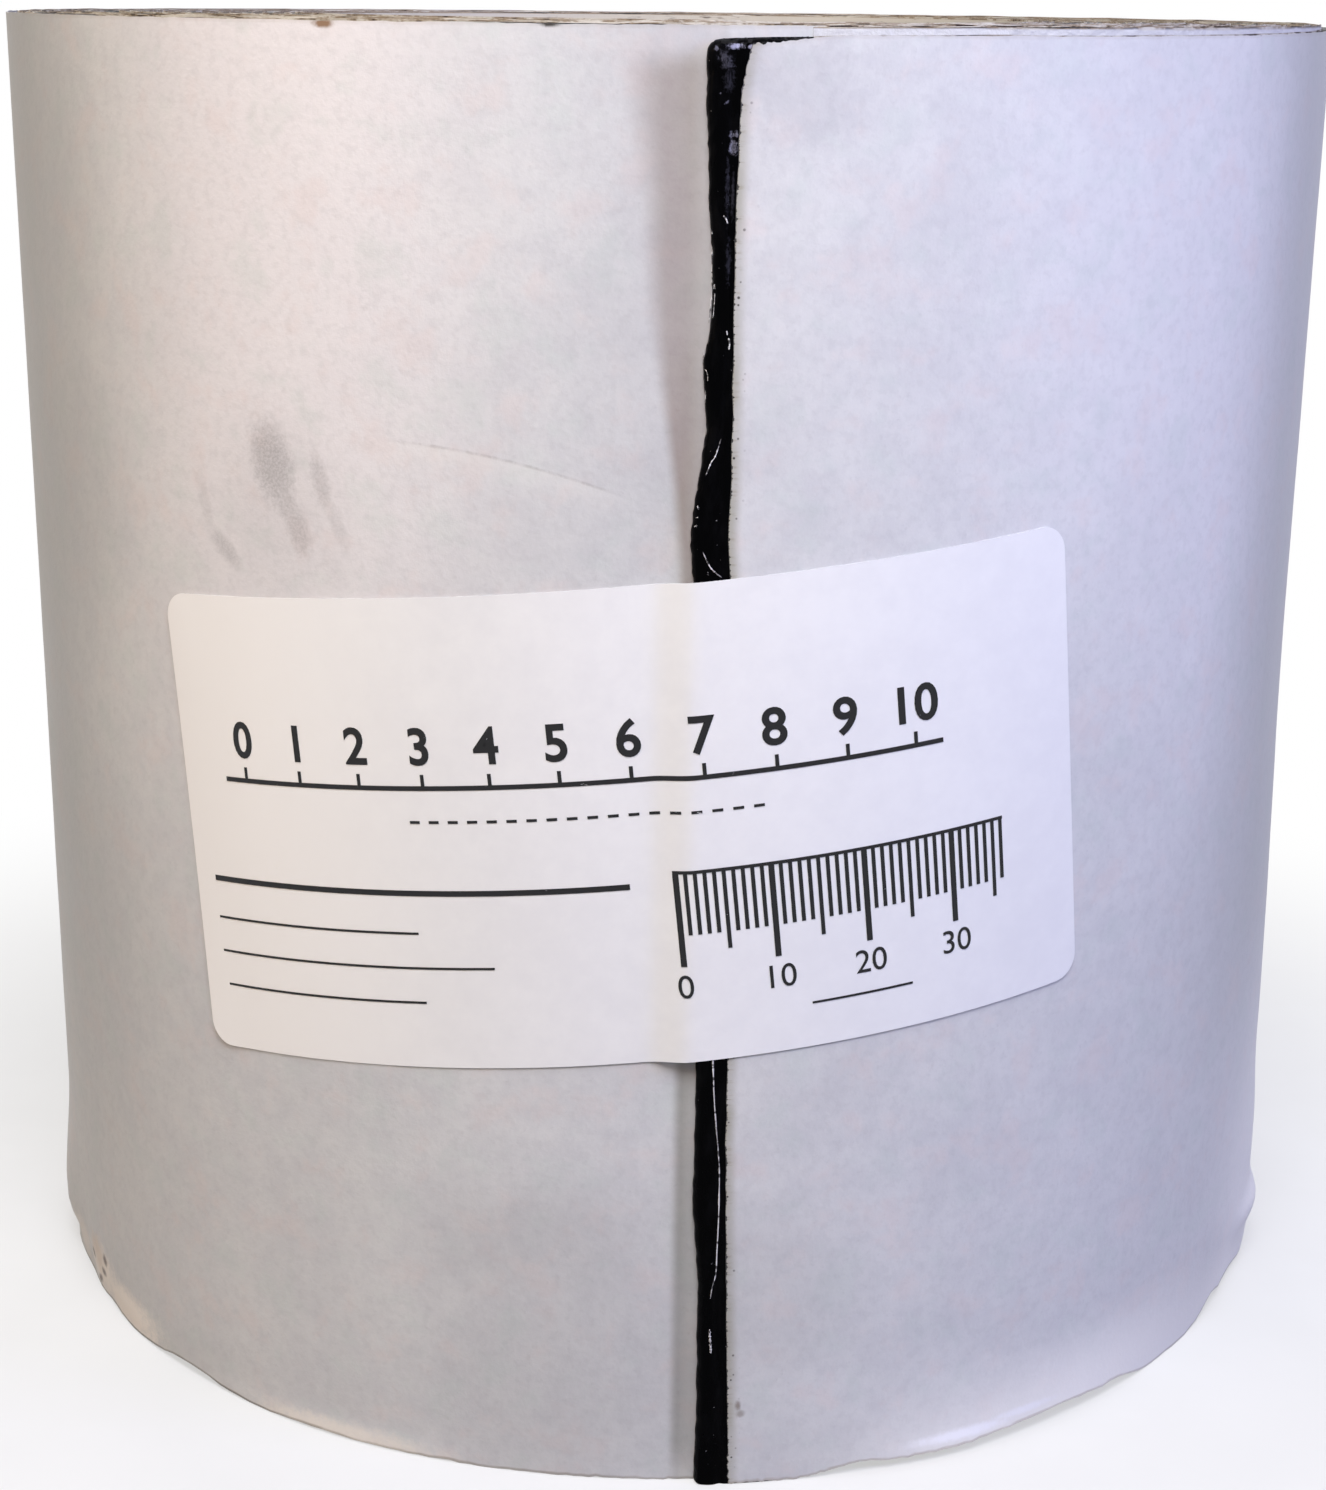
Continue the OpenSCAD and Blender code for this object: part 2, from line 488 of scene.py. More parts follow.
# %% The bead's cross-section
def on_turn_below(length, z, height):
    """A point at a length from the tail's end and a height above the liner of
    the turn below, on either side of the tail."""
    x, y = wound(roll_radius - pitch + height, length / roll_radius)
    return np.stack([x, y, np.broadcast_to(z, x.shape)], -1)


def bead_grid(levels=330):
    """Points of the bead as an array (level, place round the section, xyz)."""
    share = np.linspace(0, 1, levels)[:, None]
    z = (tape_width - slipped(2 * mm)) * share
    left, right = bead_edge(z), liner_edge(z)
    nose = (0.80 + 0.12 * ripple(z, 15 * mm, 61)) * mm
    full = pitch - liner_thickness

    # Round nose: length = left + n (1 - cos a), height = full sin a.
    a = np.radians(np.arange(0, 91, 10))[None, :]
    nose_length = left + nose * (1 - np.cos(a))
    nose_height = full * np.sin(a)

    # Flat part from the nose to under the liner, with its valley and crown.
    t = np.linspace(0, 1, 17)[None, 1:]
    flat_length = left + nose + (right + 0.25 * mm - left - nose) * t
    valley = 0.60 + 0.13 * ripple(z, 22 * mm, 62)
    crown = 0.22 + 0.08 * ripple(z, 12 * mm, 63)
    lumps = 0.035 * ripple(z, 4 * mm, 64) * bump(t, 0.25, 0.25)
    relief = 0.09 * bump(t, crown, 0.22) - 0.16 * bump(t, valley, 0.13) + lumps
    flat_height = full + relief * mm
    flat_height = np.where(t > 0.93, full - 0.02 * mm, flat_height)

    # Under the liner, and back along the turn below.
    t = np.linspace(0, 1, 21)[None, 1:]
    hidden_length = right + 0.25 * mm + (step_back - right - 0.25 * mm) * t
    hidden_height = full - 0.02 * mm + 0 * t
    under_length = np.array([[step_back, 6.0 * mm, 3.0 * mm, 1.8 * mm]])
    under_height = np.array([[-0.03, -0.03, -0.03, -0.03]]) * mm
    foot_length, foot_height = left + 0.1 * mm, np.array([[-0.03 * mm]])

    def joined(*parts):
        return np.concatenate([p + 0 * z for p in parts], 1)

    length = joined(nose_length, flat_length, hidden_length, under_length, foot_length)
    height = joined(nose_height, flat_height, hidden_height, under_height, foot_height)

    # Top and bottom: a rounded corner on the free side, and a shrinking section.
    corner = 1.3 * mm
    off = np.clip(corner - (length - left), 0, corner)
    drop = corner - np.sqrt(corner**2 - off**2)
    ragged = 0.05 * ripple(length, 0.5 * mm, 65) + 0.04 * ripple(length, 1.7 * mm, 66)
    crept = 0.12 * bump(length, 4.4 * mm, 1.6 * mm)
    high = tape_width - slipped(length) - drop + (ragged + crept) * mm
    low = 0.05 * mm + 0.3 * drop
    z = low + (high - low) * share
    edge = 0.55 * mm
    up = np.clip((high - z) / edge, 0.02, 1)
    height = np.where(height > 0, height * np.sqrt(1 - (1 - up) ** 2), height)
    flat = np.stack([length + 0 * z, z + 0 * length, height + 0 * z], -1)
    return on_turn_below(length, z, height), flat


def build_bead():
    """The carried section as a closed mesh, with a cap on each end, and the
    flat position of each of its points."""
    grid, flat = bead_grid()
    levels, across = grid.shape[:2]
    i, j = np.meshgrid(np.arange(levels - 1), np.arange(across), indexing="ij")
    a, b = i * across + j, i * across + (j + 1) % across
    sides = np.stack([a, b, b + across, a + across], -1).reshape(-1, 4)
    last = (levels - 1) * across
    caps = [list(range(across))[::-1], [last + k for k in range(across)]]
    return grid.reshape(-1, 3), sides.tolist() + caps, flat


bead_points, bead_faces, bead_flat = build_bead()
bead_piece = make_object("tail_bead", bead_points, bead_faces, 60)
set_uv(bead_piece, "flat", bead_flat[:, :, :2].reshape(-1, 2))
print("tail_bead:", triangles(bead_piece), "triangles")

# %% [markdown]
# ## Threads on the bead
#
# A few thin light lines run along the bead. Each is a thin closed ribbon that
# follows a few points, with a smooth curve between them. It takes its height
# from the bead's own surface under it, so it lies on the bead all along.


# %% The threads
def smooth_line(points, count):
    """Points along a Catmull-Rom curve: between p1 and p2 it is the cubic
    whose slopes at the two ends are (p2 - p0) / 2 and (p3 - p1) / 2."""
    p = np.array(points, float)
    p = np.concatenate([2 * p[:1] - p[1:2], p, 2 * p[-1:] - p[-2:-1]])
    t = np.linspace(0, len(p) - 3 - 1e-9, count)
    k = t.astype(int)
    t = (t - k)[:, None]
    p0, p1, p2, p3 = p[k], p[k + 1], p[k + 2], p[k + 3]
    return p1 + 0.5 * t * (p2 - p0 + t * (2 * p0 - 5 * p1 + 4 * p2 - p3
                                          + t * (3 * (p1 - p2) + p3 - p0)))


def bead_height(length, z):
    """Height of the bead's outer surface, from its nearest row of points."""
    face = bead_flat[:, :26]
    level = np.abs(face[:, 12, 1][None, :] - z[:, None]).argmin(1)
    return np.array([np.interp(x, face[n, :, 0], face[n, :, 2]) for n, x in zip(level, length)])


def thread(points, width, seed, count=60):
    """A ribbon as an array (place along, corner, xyz): a diamond section of
    the given width, half as thick, which tapers to its two ends."""
    line = smooth_line(points, count) * mm
    share = np.linspace(0, 1, count)
    half = width / 2 * (1 + 0.35 * ripple(share, 0.12, seed)) * np.sqrt(
        np.clip(12 * share * (1 - share), 0.05, 1))
    along = np.gradient(line, axis=0)
    along /= np.linalg.norm(along, axis=1)[:, None]
    side = np.stack([along[:, 1], -along[:, 0]], -1)
    corners = []
    for across, up in ((-1, 0.0), (0, 0.5), (1, 0.0), (0, -0.7)):
        place = line + side * (across * half)[:, None]
        height = bead_height(line[:, 0], line[:, 1]) + 0.01 * mm + up * half
        corners.append(on_turn_below(place[:, 0], place[:, 1], height))
    return np.stack(corners, 1)


thread_points, thread_faces = [], []
for points, width, seed in (
    ([(2.0, 52.0), (2.08, 49.6), (2.29, 45.3), (2.54, 42.3), (2.95, 37.7), (3.01, 34.3),
      (2.98, 31.0), (2.89, 28.2), (2.8, 25.4), (2.45, 24.0), (2.25, 22.5)], 0.12 * mm, 1),
    ([(2.24, 18.9), (2.27, 18.0), (2.36, 17.0), (2.40, 16.0)], 0.20 * mm, 2),
    ([(1.79, 114.1), (1.29, 112.5), (0.87, 111.8), (0.4, 110.6)], 0.10 * mm, 3),
    ([(0.2, 103.1), (0.84, 101.75), (1.49, 101.0), (2.13, 100.5)], 0.11 * mm, 4),
    ([(1.65, 135.1), (1.9, 134.8), (2.05, 134.4)], 0.13 * mm, 5),
    ([(2.35, 123.7), (2.48, 123.1), (2.42, 122.6)], 0.15 * mm, 6),
    ([(2.16, 124.4), (2.2, 124.0)], 0.12 * mm, 7),
    ([(-0.55, 106.35), (-0.3, 106.45)], 0.10 * mm, 8),
    ([(-0.65, 105.5), (-0.35, 105.7)], 0.12 * mm, 9),
    ([(-0.35, 107.6), (-0.25, 107.2)], 0.11 * mm, 10),
    ([(0.67, 126.4), (0.85, 128.0), (0.93, 128.7), (1.0, 128.0), (0.92, 126.2), (0.83, 125.5)],
     0.05 * mm, 11),
    ([(0.2, 120.7), (0.42, 120.35), (0.45, 119.6), (0.3, 119.2)], 0.08 * mm, 12),
    ([(bead_edge(z * mm) / mm - 0.03, z) for z in (135.5, 134, 132.5, 131, 129, 127, 125)],
     0.09 * mm, 13),
    ([(bead_edge(z * mm) / mm - 0.03, z) for z in (122.5, 121, 119, 117, 115.5)],
     0.07 * mm, 14),
):
    ring = thread(points, width, seed)
    first, count = sum(len(p) for p in thread_points), len(ring)
    i, j = np.meshgrid(np.arange(count - 1), np.arange(4), indexing="ij")
    a, b = first + i * 4 + j, first + i * 4 + (j + 1) % 4
    thread_faces += np.stack([a, b, b + 4, a + 4], -1).reshape(-1, 4).tolist()
    last = first + (count - 1) * 4
    thread_faces += [[first + 3, first + 2, first + 1, first], [last, last + 1, last + 2, last + 3]]
    thread_points.append(ring.reshape(-1, 3))
thread_piece = make_object("light_threads", np.concatenate(thread_points), thread_faces)
print("light_threads:", triangles(thread_piece), "triangles")

# %% [markdown]
# ## The release liner
#
# The liner is a sheet of paper that goes once round the roll, from the blade's
# cut to just under the bead. Its grid is close together at the cut and at the
# tail, where the eye goes, and wider apart behind. The paper bears on soft
# compound, so it is very slightly uneven. Its lower edge is frayed where the
# roll has been set down, and turned up a little in two places. Low down on
# both sides the paper has come loose and bulges outwards.


# %% Edges and unevenness of the liner
def lower_edge(length):
    """Height of the liner's lower edge, from the length since the tail's end,
    which is negative to the left of it."""
    worn = 0.15 * bump(length, -83 * mm, 8 * mm) + 0.15 * bump(length, -40 * mm, 9 * mm)
    worn = worn + 0.25 * bump(length, 27 * mm, 7 * mm)
    frayed = 0.10 + 0.05 * ripple(length, 11 * mm, 71) + 0.07 * ripple(length, 1.3 * mm, 72)
    return (worn + np.maximum(frayed, 0)) * mm + raised(length)


def upper_edge(length):
    """Height of the liner's upper edge. Near the tail the paper stops short
    of the compound, which shows as a thin black line."""
    angle = length / roll_radius
    wander = 0.14 * mm * (1 + ripple(angle, 5.3, 41))
    ragged = 0.05 * mm * (1 + ripple(angle, 0.21, 42))
    short = 0.33 * mm * (1 - smooth((length - 4 * mm) / (9 * mm)))
    frayed = (0.03 + 0.05 * bump(length, 5 * mm, 3 * mm)) * mm * (
        1 + ripple(length, 0.9 * mm, 73))
    return tape_width - slipped(length) - 0.5 * np.maximum(wander + ragged, 0) * smooth(
        length / (30 * mm)) - short - frayed


def paper_depth(length, z):
    """How far the paper lies inside the roll's full radius: always a little."""
    broad = cloud(length, z, 60 * mm, 81) * 0.022
    small = cloud(length, z, 14 * mm, 82) * 0.010
    return np.clip(0.045 + broad + small, 0.0, 0.1) * mm


def flare(length, z):
    """How far the paper stands off the roll low down. It is a sum: loose over
    a broad area on the right, bulged above the knocked edge on the left,
    spread like a skirt nearer to the tail, and turned up in two places."""
    loose = smooth((length - 55 * mm) / (25 * mm)) * (1 - smooth((length - 98 * mm) / (18 * mm)))
    side = smooth((length - 86 * mm) / (10 * mm))
    loose = loose * (0.8 * smooth((85 * mm - z) / (55 * mm)) + 0.5 * side * smooth(
        (30 * mm - z) / (14 * mm))) * smooth((z + (2 + 4 * side) * mm) / ((14 - 4 * side) * mm))
    loose = loose + 1.0 * bump(length, 99 * mm, 8 * mm) * bump(z, 7.2 * mm, 2.0 * mm)
    bulged = smooth((length + 118 * mm) / (11 * mm)) * (1 - smooth((length + 104 * mm) / (8 * mm)))
    bulged = bulged * smooth((z - 1.5 * mm) / (4 * mm)) * (1 - smooth((z - 6 * mm) / (15 * mm)))
    skirt = smooth((length - 10 * mm) / (14 * mm)) * (1 - smooth((length - 42 * mm) / (22 * mm)))
    skirt = 0.6 * skirt * np.clip(1 - z / (13 * mm), 0, 1) ** 2
    turned = 0.40 * bump(length, 31 * mm, 8 * mm) * bump(z, 0, 2.6 * mm)
    turned = turned + 0.30 * bump(length, -42 * mm, 13 * mm) * bump(z, 0, 1.6 * mm)
    return (loose + bulged + skirt + turned) * mm


# %% The liner's grid
def liner_grid(columns=330, levels=130):
    """Outer and inner points of the liner, and their flat positions."""
    c = np.linspace(0, 1, columns)[None, :]
    spread = c + 0.14 * np.sin(2 * np.pi * c) * -1
    r = np.linspace(0, 1, levels)[:, None]
    up = r - 0.10 * np.sin(2 * np.pi * r)
    z_about = upper_edge(np.array(4 * mm)) * up
    start = liner_edge(z_about)
    end = turn_length + step_back + 0.4 * mm
    length = start + (end - start) * spread
    low, high = lower_edge(signed(length)), upper_edge(length)
    z = low + (high - low) * up
    depth = paper_depth(length, z)
    out = flare(signed(length), z) - knocked(length, z)
    faces = []
    for radius in (roll_radius - depth + out, compound_radius + 0.005 * mm + out):
        x, y = wound(radius, length / roll_radius)
        faces.append(np.stack([x, y, z], -1))
    flat = np.stack([length, z], -1)
    from_edge = np.stack([length - start, np.minimum(z - low, high - z)], -1)
    return faces, flat, from_edge


liner_points, liner_flat, liner_from_edge = liner_grid()
liner_rows, liner_columns = liner_flat.shape[:2]
liner_piece = make_object(
    "liner_paper",
    np.concatenate([p.reshape(-1, 3) for p in liner_points]),
    sheet_faces(liner_rows, liner_columns),
)
for layer, values in (("flat", liner_flat), ("edge", liner_from_edge)):
    set_uv(liner_piece, layer, np.tile(values.reshape(-1, 2), (2, 1)))
print("liner_paper:", triangles(liner_piece), "triangles")

# %% [markdown]
# ## The label
#
# A paper label, 4 inches by 2, is stuck on a little askew and holds the tail
# down. To its left it lies on the turn below, so it ramps down off the step
# over a few millimetres. The same rule places the label and its print: a
# position on the flat label is turned by the tilt, carried round the roll,
# and lifted by the step where it has one under it.

# %% Place of a point of the label
label_length, label_width = 101.0 * mm, 50.15 * mm
label_thickness = 0.08 * mm
label_corner = 2.8 * mm
label_tilt = math.radians(6.0)
label_offset, label_height = -8.7 * mm, 73.95 * mm
label_ramp = 4.8 * mm


def on_label(u, v, lift):
    """The point at u along and v across the label, from its middle, and at a
    lift above the liner. Left of the tail the height of the step under the
    label falls smoothly to nothing over the length of the ramp."""
    length = label_offset + u * math.cos(label_tilt) - v * math.sin(label_tilt)
    z = label_height + u * math.sin(label_tilt) + v * math.cos(label_tilt)
    on_step = smooth(1 + length / label_ramp)
    height = pitch * np.where(length < 0, on_step, 1.0) + lift
    return on_turn_below(length, z, height)


print("the label's middle is at", on_label(np.array(0.0), np.array(0.0), 0.0).round(4))


# %% The label's grid
def label_grid(columns=150, levels=60):
    """Outer and inner points of the label and their flat positions. Half the
    width at u is w / 2 - c + sqrt(c^2 - (|u| - l / 2 + c)^2) in the corners."""
    half, c = label_length / 2, label_corner
    corner = half - c + c * np.sin(np.radians(np.arange(0, 91, 9)))
    middle = np.linspace(-half + c, half - c, columns)
    along = np.concatenate([-corner[:0:-1], middle, corner[1:]])[None, :]
    into = np.clip(np.abs(along) - half + c, 0, c)
    half_width = label_width / 2 - c + np.sqrt(c**2 - into**2)
    across = half_width * np.linspace(-1, 1, levels)[:, None]
    along = np.broadcast_to(along, across.shape)
    # The left end has begun to lift at its two corners.
    reach = smooth((-along - 42 * mm) / (9 * mm)) * np.abs(across) / (label_width / 2)
    lift = 0.02 * mm + 0.22 * mm * reach**2
    faces = [on_label(along, across, lift + t) for t in (label_thickness, 0)]
    return faces, np.stack([along, across], -1)


label_points, label_flat = label_grid()
label_rows, label_columns = label_flat.shape[:2]
label_piece = make_object(
    "label_paper",
    np.concatenate([p.reshape(-1, 3) for p in label_points]),
    sheet_faces(label_rows, label_columns),
)
set_uv(label_piece, "flat", np.tile(label_flat.reshape(-1, 2), (2, 1)))
print("label_paper:", triangles(label_piece), "triangles")

# %% [markdown]
# ## The print on the label
#
# The print is generic: a row of plain numbers on a heavy rule, on which to
# mark off what has been used, rules to write on, and a measuring scale. Each
# bar is a thin closed strip, cut into short lengths so that it bends with the
# label. The numbers are text turned into a mesh, whose points are then carried
# on to the label in the same way.

# %% Bars and numbers
ink_lift = label_thickness + 0.05 * mm
ink_thickness = 0.012 * mm
ink_points, ink_faces = [], []


def add_shell(flat, faces, thick=ink_thickness):
    """Adds a flat mesh on the label as a closed shell: its faces, the same
    ones turned over below, and a wall along every edge that has one face."""
    first, count = sum(len(p) for p in ink_points), len(flat)
    for lift in (ink_lift + thick, ink_lift):
        ink_points.append(on_label(flat[:, 0], flat[:, 1], lift))
    edges = {}
    for face in faces:
        for a, b in zip(face, face[1:] + face[:1]):
            edges[(a, b)] = True
    open_edges = [(a, b) for a, b in edges if (b, a) not in edges]
    for face in faces:
        ink_faces.append([first + n for n in face])
        ink_faces.append([first + count + n for n in face[::-1]])
    for a, b in open_edges:
        ink_faces.append([first + b, first + a, first + count + a, first + count + b])


def add_bar(u, v, length, width):
    """A bar from its lower left corner, in steps of less than half a
    millimetre."""
    n = max(int(length / (0.4 * mm)), 1)
    along = u + length * np.linspace(0, 1, n + 1)
    flat = np.array([(x, y) for y in (v, v + width) for x in along])
    add_shell(flat, grid_faces(2, n + 1).tolist())


def add_number(text, u, v, size, bold=0.0):
    """A number centred on u, standing on v, made one metre high, cut into
    upright strips so that it bends with the label, and scaled down to its
    size. Bold thickens its strokes."""
    curve = bpy.data.curves.new("number", "FONT")
    curve.body, curve.size, curve.align_x = text, 1.0, "CENTER"
    curve.offset, curve.resolution_u = bold, 5
    holder = bpy.data.objects.new("number", curve)
    bpy.context.scene.collection.objects.link(holder)
    bpy.context.view_layer.update()
    mesh = bpy.data.meshes.new_from_object(holder)
    strips = bmesh.new()
    strips.from_mesh(mesh)
    for x in np.arange(-1.0, 1.0, 0.1):
        bmesh.ops.bisect_plane(strips, geom=strips.verts[:] + strips.edges[:] + strips.faces[:],
                               dist=1e-5, plane_co=(x, 0, 0), plane_no=(1, 0, 0))
    bmesh.ops.dissolve_degenerate(strips, dist=5e-5, edges=strips.edges[:])
    strips.to_mesh(mesh)
    strips.free()
    flat = np.zeros(len(mesh.vertices) * 3)
    mesh.vertices.foreach_get("co", flat)
    flat = flat.reshape(-1, 3)[:, :2] * size + np.array([u, v])
    add_shell(flat, [list(p.vertices) for p in mesh.polygons])
    bpy.data.objects.remove(holder)
    bpy.data.curves.remove(curve)
    bpy.data.meshes.remove(mesh)


# %% The row of numbers on its rule
for n in range(11):
    place = (-41 + 7.3 * n) * mm
    add_number(str(n), place, 7.9 * mm, 5.4 * mm, 0.02)
    add_bar(place - 0.2 * mm, 5.6 * mm, 0.4 * mm, 1.2 * mm)
add_bar(-44 * mm, 5.1 * mm, 79 * mm, 0.5 * mm)
for n in range(18):
    add_bar((-21 + 2.1 * n) * mm, 1.6 * mm, 1.1 * mm, 0.3 * mm)
print(len(ink_faces), "faces in the numbers")

# %% The rules to write on
rule_left = -47.5 * mm
add_bar(rule_left, -6.2 * mm, 49 * mm, 0.6 * mm)
for v, length in ((-10.4, 26), (-14.2, 34), (-18.0, 26)):
    add_bar(rule_left, v * mm, length * mm, 0.25 * mm)

# %% The measuring scale
scale_left, scale_top, scale_step = 6.2, -4.6, 0.97
for n in range(37):
    tall = 10.0 if n % 10 == 0 else 8.4 if n % 5 == 0 else 6.6
    thick = 0.62 if n % 10 == 0 else 0.42
    add_bar((scale_left + scale_step * n - thick / 2) * mm, (scale_top - tall) * mm,
            thick * mm, tall * mm)
add_bar(5.9 * mm, -4.7 * mm, 35.5 * mm, 0.35 * mm)
for n in range(4):
    add_number(str(10 * n), (scale_left + 10 * scale_step * n) * mm, -18.0 * mm, 3.6 * mm)
add_bar(19 * mm, -20.4 * mm, 11 * mm, 0.25 * mm)
print_piece = make_object("label_print", np.concatenate(ink_points), ink_faces)
print("label_print:", triangles(print_piece), "triangles")

# %% [markdown]
# ## Materials
#
# Each finish is a Principled shader fed by a few shared effects. An effect is
# a node group with named sockets: it takes a position and gives back a mask or
# a height, so that it can be tried on any surface. The helpers below only make
# the node code short: one adds a node and fills its sockets, the others are
# the sums and blends that every finish needs.


# %% Node helpers
def add_node(tree, kind, inputs=None, **settings):
    """Adds a node. A value is set on its socket, and a socket is linked."""
    made = tree.nodes.new("ShaderNode" + kind)
    for name, value in settings.items():
        setattr(made, name, value)
    for name, value in (inputs or {}).items():
        if isinstance(value, bpy.types.NodeSocket):
            tree.links.new(value, made.inputs[name])
        else:
            made.inputs[name].default_value = value
    return made


def sum_of(tree, operation, a, b=0.0, clamp=False):
    """One step of arithmetic on two values."""
    made = add_node(tree, "Math", {0: a, 1: b}, operation=operation, use_clamp=clamp)
    return made.outputs[0]


def ramp(tree, value, low, high, start=0.0, end=1.0):
    """Goes smoothly from start to end while the value goes from low to high."""
    made = add_node(tree, "MapRange", {0: value, 1: low, 2: high, 3: start, 4: end},
                    interpolation_type="SMOOTHSTEP")
    return made.outputs[0]


def blend(tree, mask, colour_a, colour_b):
    """Colour a where the mask is 0, colour b where it is 1."""
    made = add_node(tree, "Mix", {0: mask, 6: colour_a, 7: colour_b}, data_type="RGBA")
    return made.outputs[2]


def noise(tree, position, scale, detail=3.0, roughness=0.55):
    """Blender's noise, a value about 0.5, with lumps of about 1 / scale."""
    made = add_node(tree, "TexNoise", {"Vector": position, "Scale": scale,
                    "Detail": detail, "Roughness": roughness})
    return made.outputs["Fac"]


def stretched(tree, position, x, y, z=1.0):
    """The position with each of its axes scaled, for lumps that are long."""
    made = add_node(tree, "VectorMath", {0: position, 1: (x, y, z)}, operation="MULTIPLY")
    return made.outputs[0]


def colour(red, green, blue):
    """A colour written as on a screen, 0 to 255, turned into what nodes use."""
    c = np.array([red, green, blue]) / 255
    linear = np.where(c < 0.04045, c / 12.92, ((c + 0.055) / 1.055) ** 2.4)
    return (*linear.tolist(), 1.0)


def new_group(name, inputs, outputs):
    """A node group with its sockets, given as pairs of a name and a kind."""
    tree = bpy.data.node_groups.new(name, "ShaderNodeTree")
    for names, way in ((inputs, "INPUT"), (outputs, "OUTPUT")):
        for socket, kind in names:
            tree.interface.new_socket(socket, in_out=way, socket_type="NodeSocket" + kind)
    return tree, tree.nodes.new("NodeGroupInput"), tree.nodes.new("NodeGroupOutput")


def use_group(tree, group, inputs):
    """Puts a group into a material or into another group."""
    made = tree.nodes.new("ShaderNodeGroup")
    made.node_tree = group
    for name, value in inputs.items():
        if isinstance(value, bpy.types.NodeSocket):
            tree.links.new(value, made.inputs[name])
        else:
            made.inputs[name].default_value = value
    return made


def new_material(name):
    """A material's node tree, empty but for its output."""
    material = bpy.data.materials.new(name)
    material.use_nodes = True
    tree = material.node_tree
    tree.nodes.clear()
    return material, tree, add_node(tree, "OutputMaterial")


# %% [markdown]
# ### Paper
#
# Held to the light, paper is cloudy, because its fibres gather in flocks of a
# few millimetres, and close up it is a felt of fibres a few tenths across.
# One group gives both, for the liner and for the label.

# %% The paper effect
paper_group, paper_in, paper_out = new_group(
    "paper_fibres",
    [("Position", "Vector")],
    [("Cloud", "Float"), ("Fibre", "Float"), ("Height", "Float")],
)
position = paper_in.outputs["Position"]
broad = noise(paper_group, position, 70.0, 2.0)
flocks = noise(paper_group, position, 330.0, 4.0, 0.65)
fibre = noise(paper_group, position, 1700.0, 3.0, 0.6)
both = sum_of(paper_group, "ADD", sum_of(paper_group, "MULTIPLY", broad, 0.4),
              sum_of(paper_group, "MULTIPLY", flocks, 0.6))
height = sum_of(paper_group, "MULTIPLY", fibre, 0.4)
for name, value in (("Cloud", both), ("Fibre", fibre), ("Height", height)):
    paper_group.links.new(value, paper_out.inputs[name])
print("paper_fibres:", len(paper_group.nodes), "nodes")

# %% [markdown]
# ### Marks
#
# A thumb or a dusty bench leaves an oval mark with a broken edge. The group
# measures the distance from its middle in units of its half length and half
# width, and adds the raggedness that it is given. That is noise, which takes
# longer to work out than the rest, and so all the marks that are equally
# coarse share one. For the same reason a mark that leans gets a position that
# is already turned, and most marks do without.

# %% The mark effect
mark_group, mark_in, mark_out = new_group(
    "rubbed_mark",
    [("Position", "Vector"), ("Middle", "Vector"), ("Half size", "Vector"),
     ("Ragged", "Float"), ("Strength", "Float")],
    [("Mask", "Float")],
)
# (position - middle) / half, as position * (1 / half) + middle * (-1 / half).
# What doesn't depend on the position is worked out only once.
per_half = add_node(mark_group, "VectorMath", {0: (1, 1, 1), 1: mark_in.outputs["Half size"]},
                    operation="DIVIDE").outputs[0]
less_half = add_node(mark_group, "VectorMath", {0: (-1, -1, -1), 1: mark_in.outputs["Half size"]},
                     operation="DIVIDE").outputs[0]
shift = add_node(mark_group, "VectorMath", {0: mark_in.outputs["Middle"], 1: less_half},
                 operation="MULTIPLY").outputs[0]
scaled = add_node(mark_group, "VectorMath", {0: mark_in.outputs["Position"], 1: per_half,
                  2: shift}, operation="MULTIPLY_ADD").outputs[0]
far = add_node(mark_group, "VectorMath", {0: scaled}, operation="LENGTH").outputs["Value"]
mask = ramp(mark_group, sum_of(mark_group, "ADD", far, mark_in.outputs["Ragged"]), 1.0, 0.25,
            0.0, mark_in.outputs["Strength"])
mark_group.links.new(mask, mark_out.inputs["Mask"])
print("rubbed_mark:", len(mark_group.nodes), "nodes")


# %% Several marks
def ragged_by(tree, position, scale, broken):
    """Raggedness of the marks' edges: noise about 0, times how broken they
    are, with lumps of about 1 / scale."""
    grain = noise(tree, position, scale, 4.0, 0.7)
    return sum_of(tree, "MULTIPLY", sum_of(tree, "SUBTRACT", grain, 0.5), broken)


def marks(tree, position, places, ragged):
    """Several marks together: (length round, height, half sizes, how far
    they lean to the left in degrees, strength), the sizes in millimetres.
    Where two lie over each other, the stronger one shows."""
    total = 0.0
    for x, y, half_x, half_y, lean, strength in places:
        x = x if x > 0 else x + turn_length / mm
        turned, middle = position, Vector((x * mm, y * mm, 0))
        if lean:
            turned = add_node(tree, "VectorRotate", {"Vector": position,
                              "Angle": -math.radians(lean)}, rotation_type="Z_AXIS").outputs[0]
            middle = Matrix.Rotation(-math.radians(lean), 3, "Z") @ middle
        one = use_group(tree, mark_group, {
            "Position": turned,
            "Middle": middle,
            "Half size": (half_x * mm, half_y * mm, 1),
            "Ragged": ragged,
            "Strength": strength,
        }).outputs["Mask"]
        total = sum_of(tree, "MAXIMUM", one, total)
    return total


# %% [markdown]
# ### The liner
#
# A pale grey paper with a silicone coat, which gives it a soft, broad shine.
# Its colour starts from the cloudy paper, and each cell below lays one more
# thing over it. Places on the paper are given on its flat map, as the length
# round the roll from the tail's end and the height, so that a mark stays
# where it is on the paper.

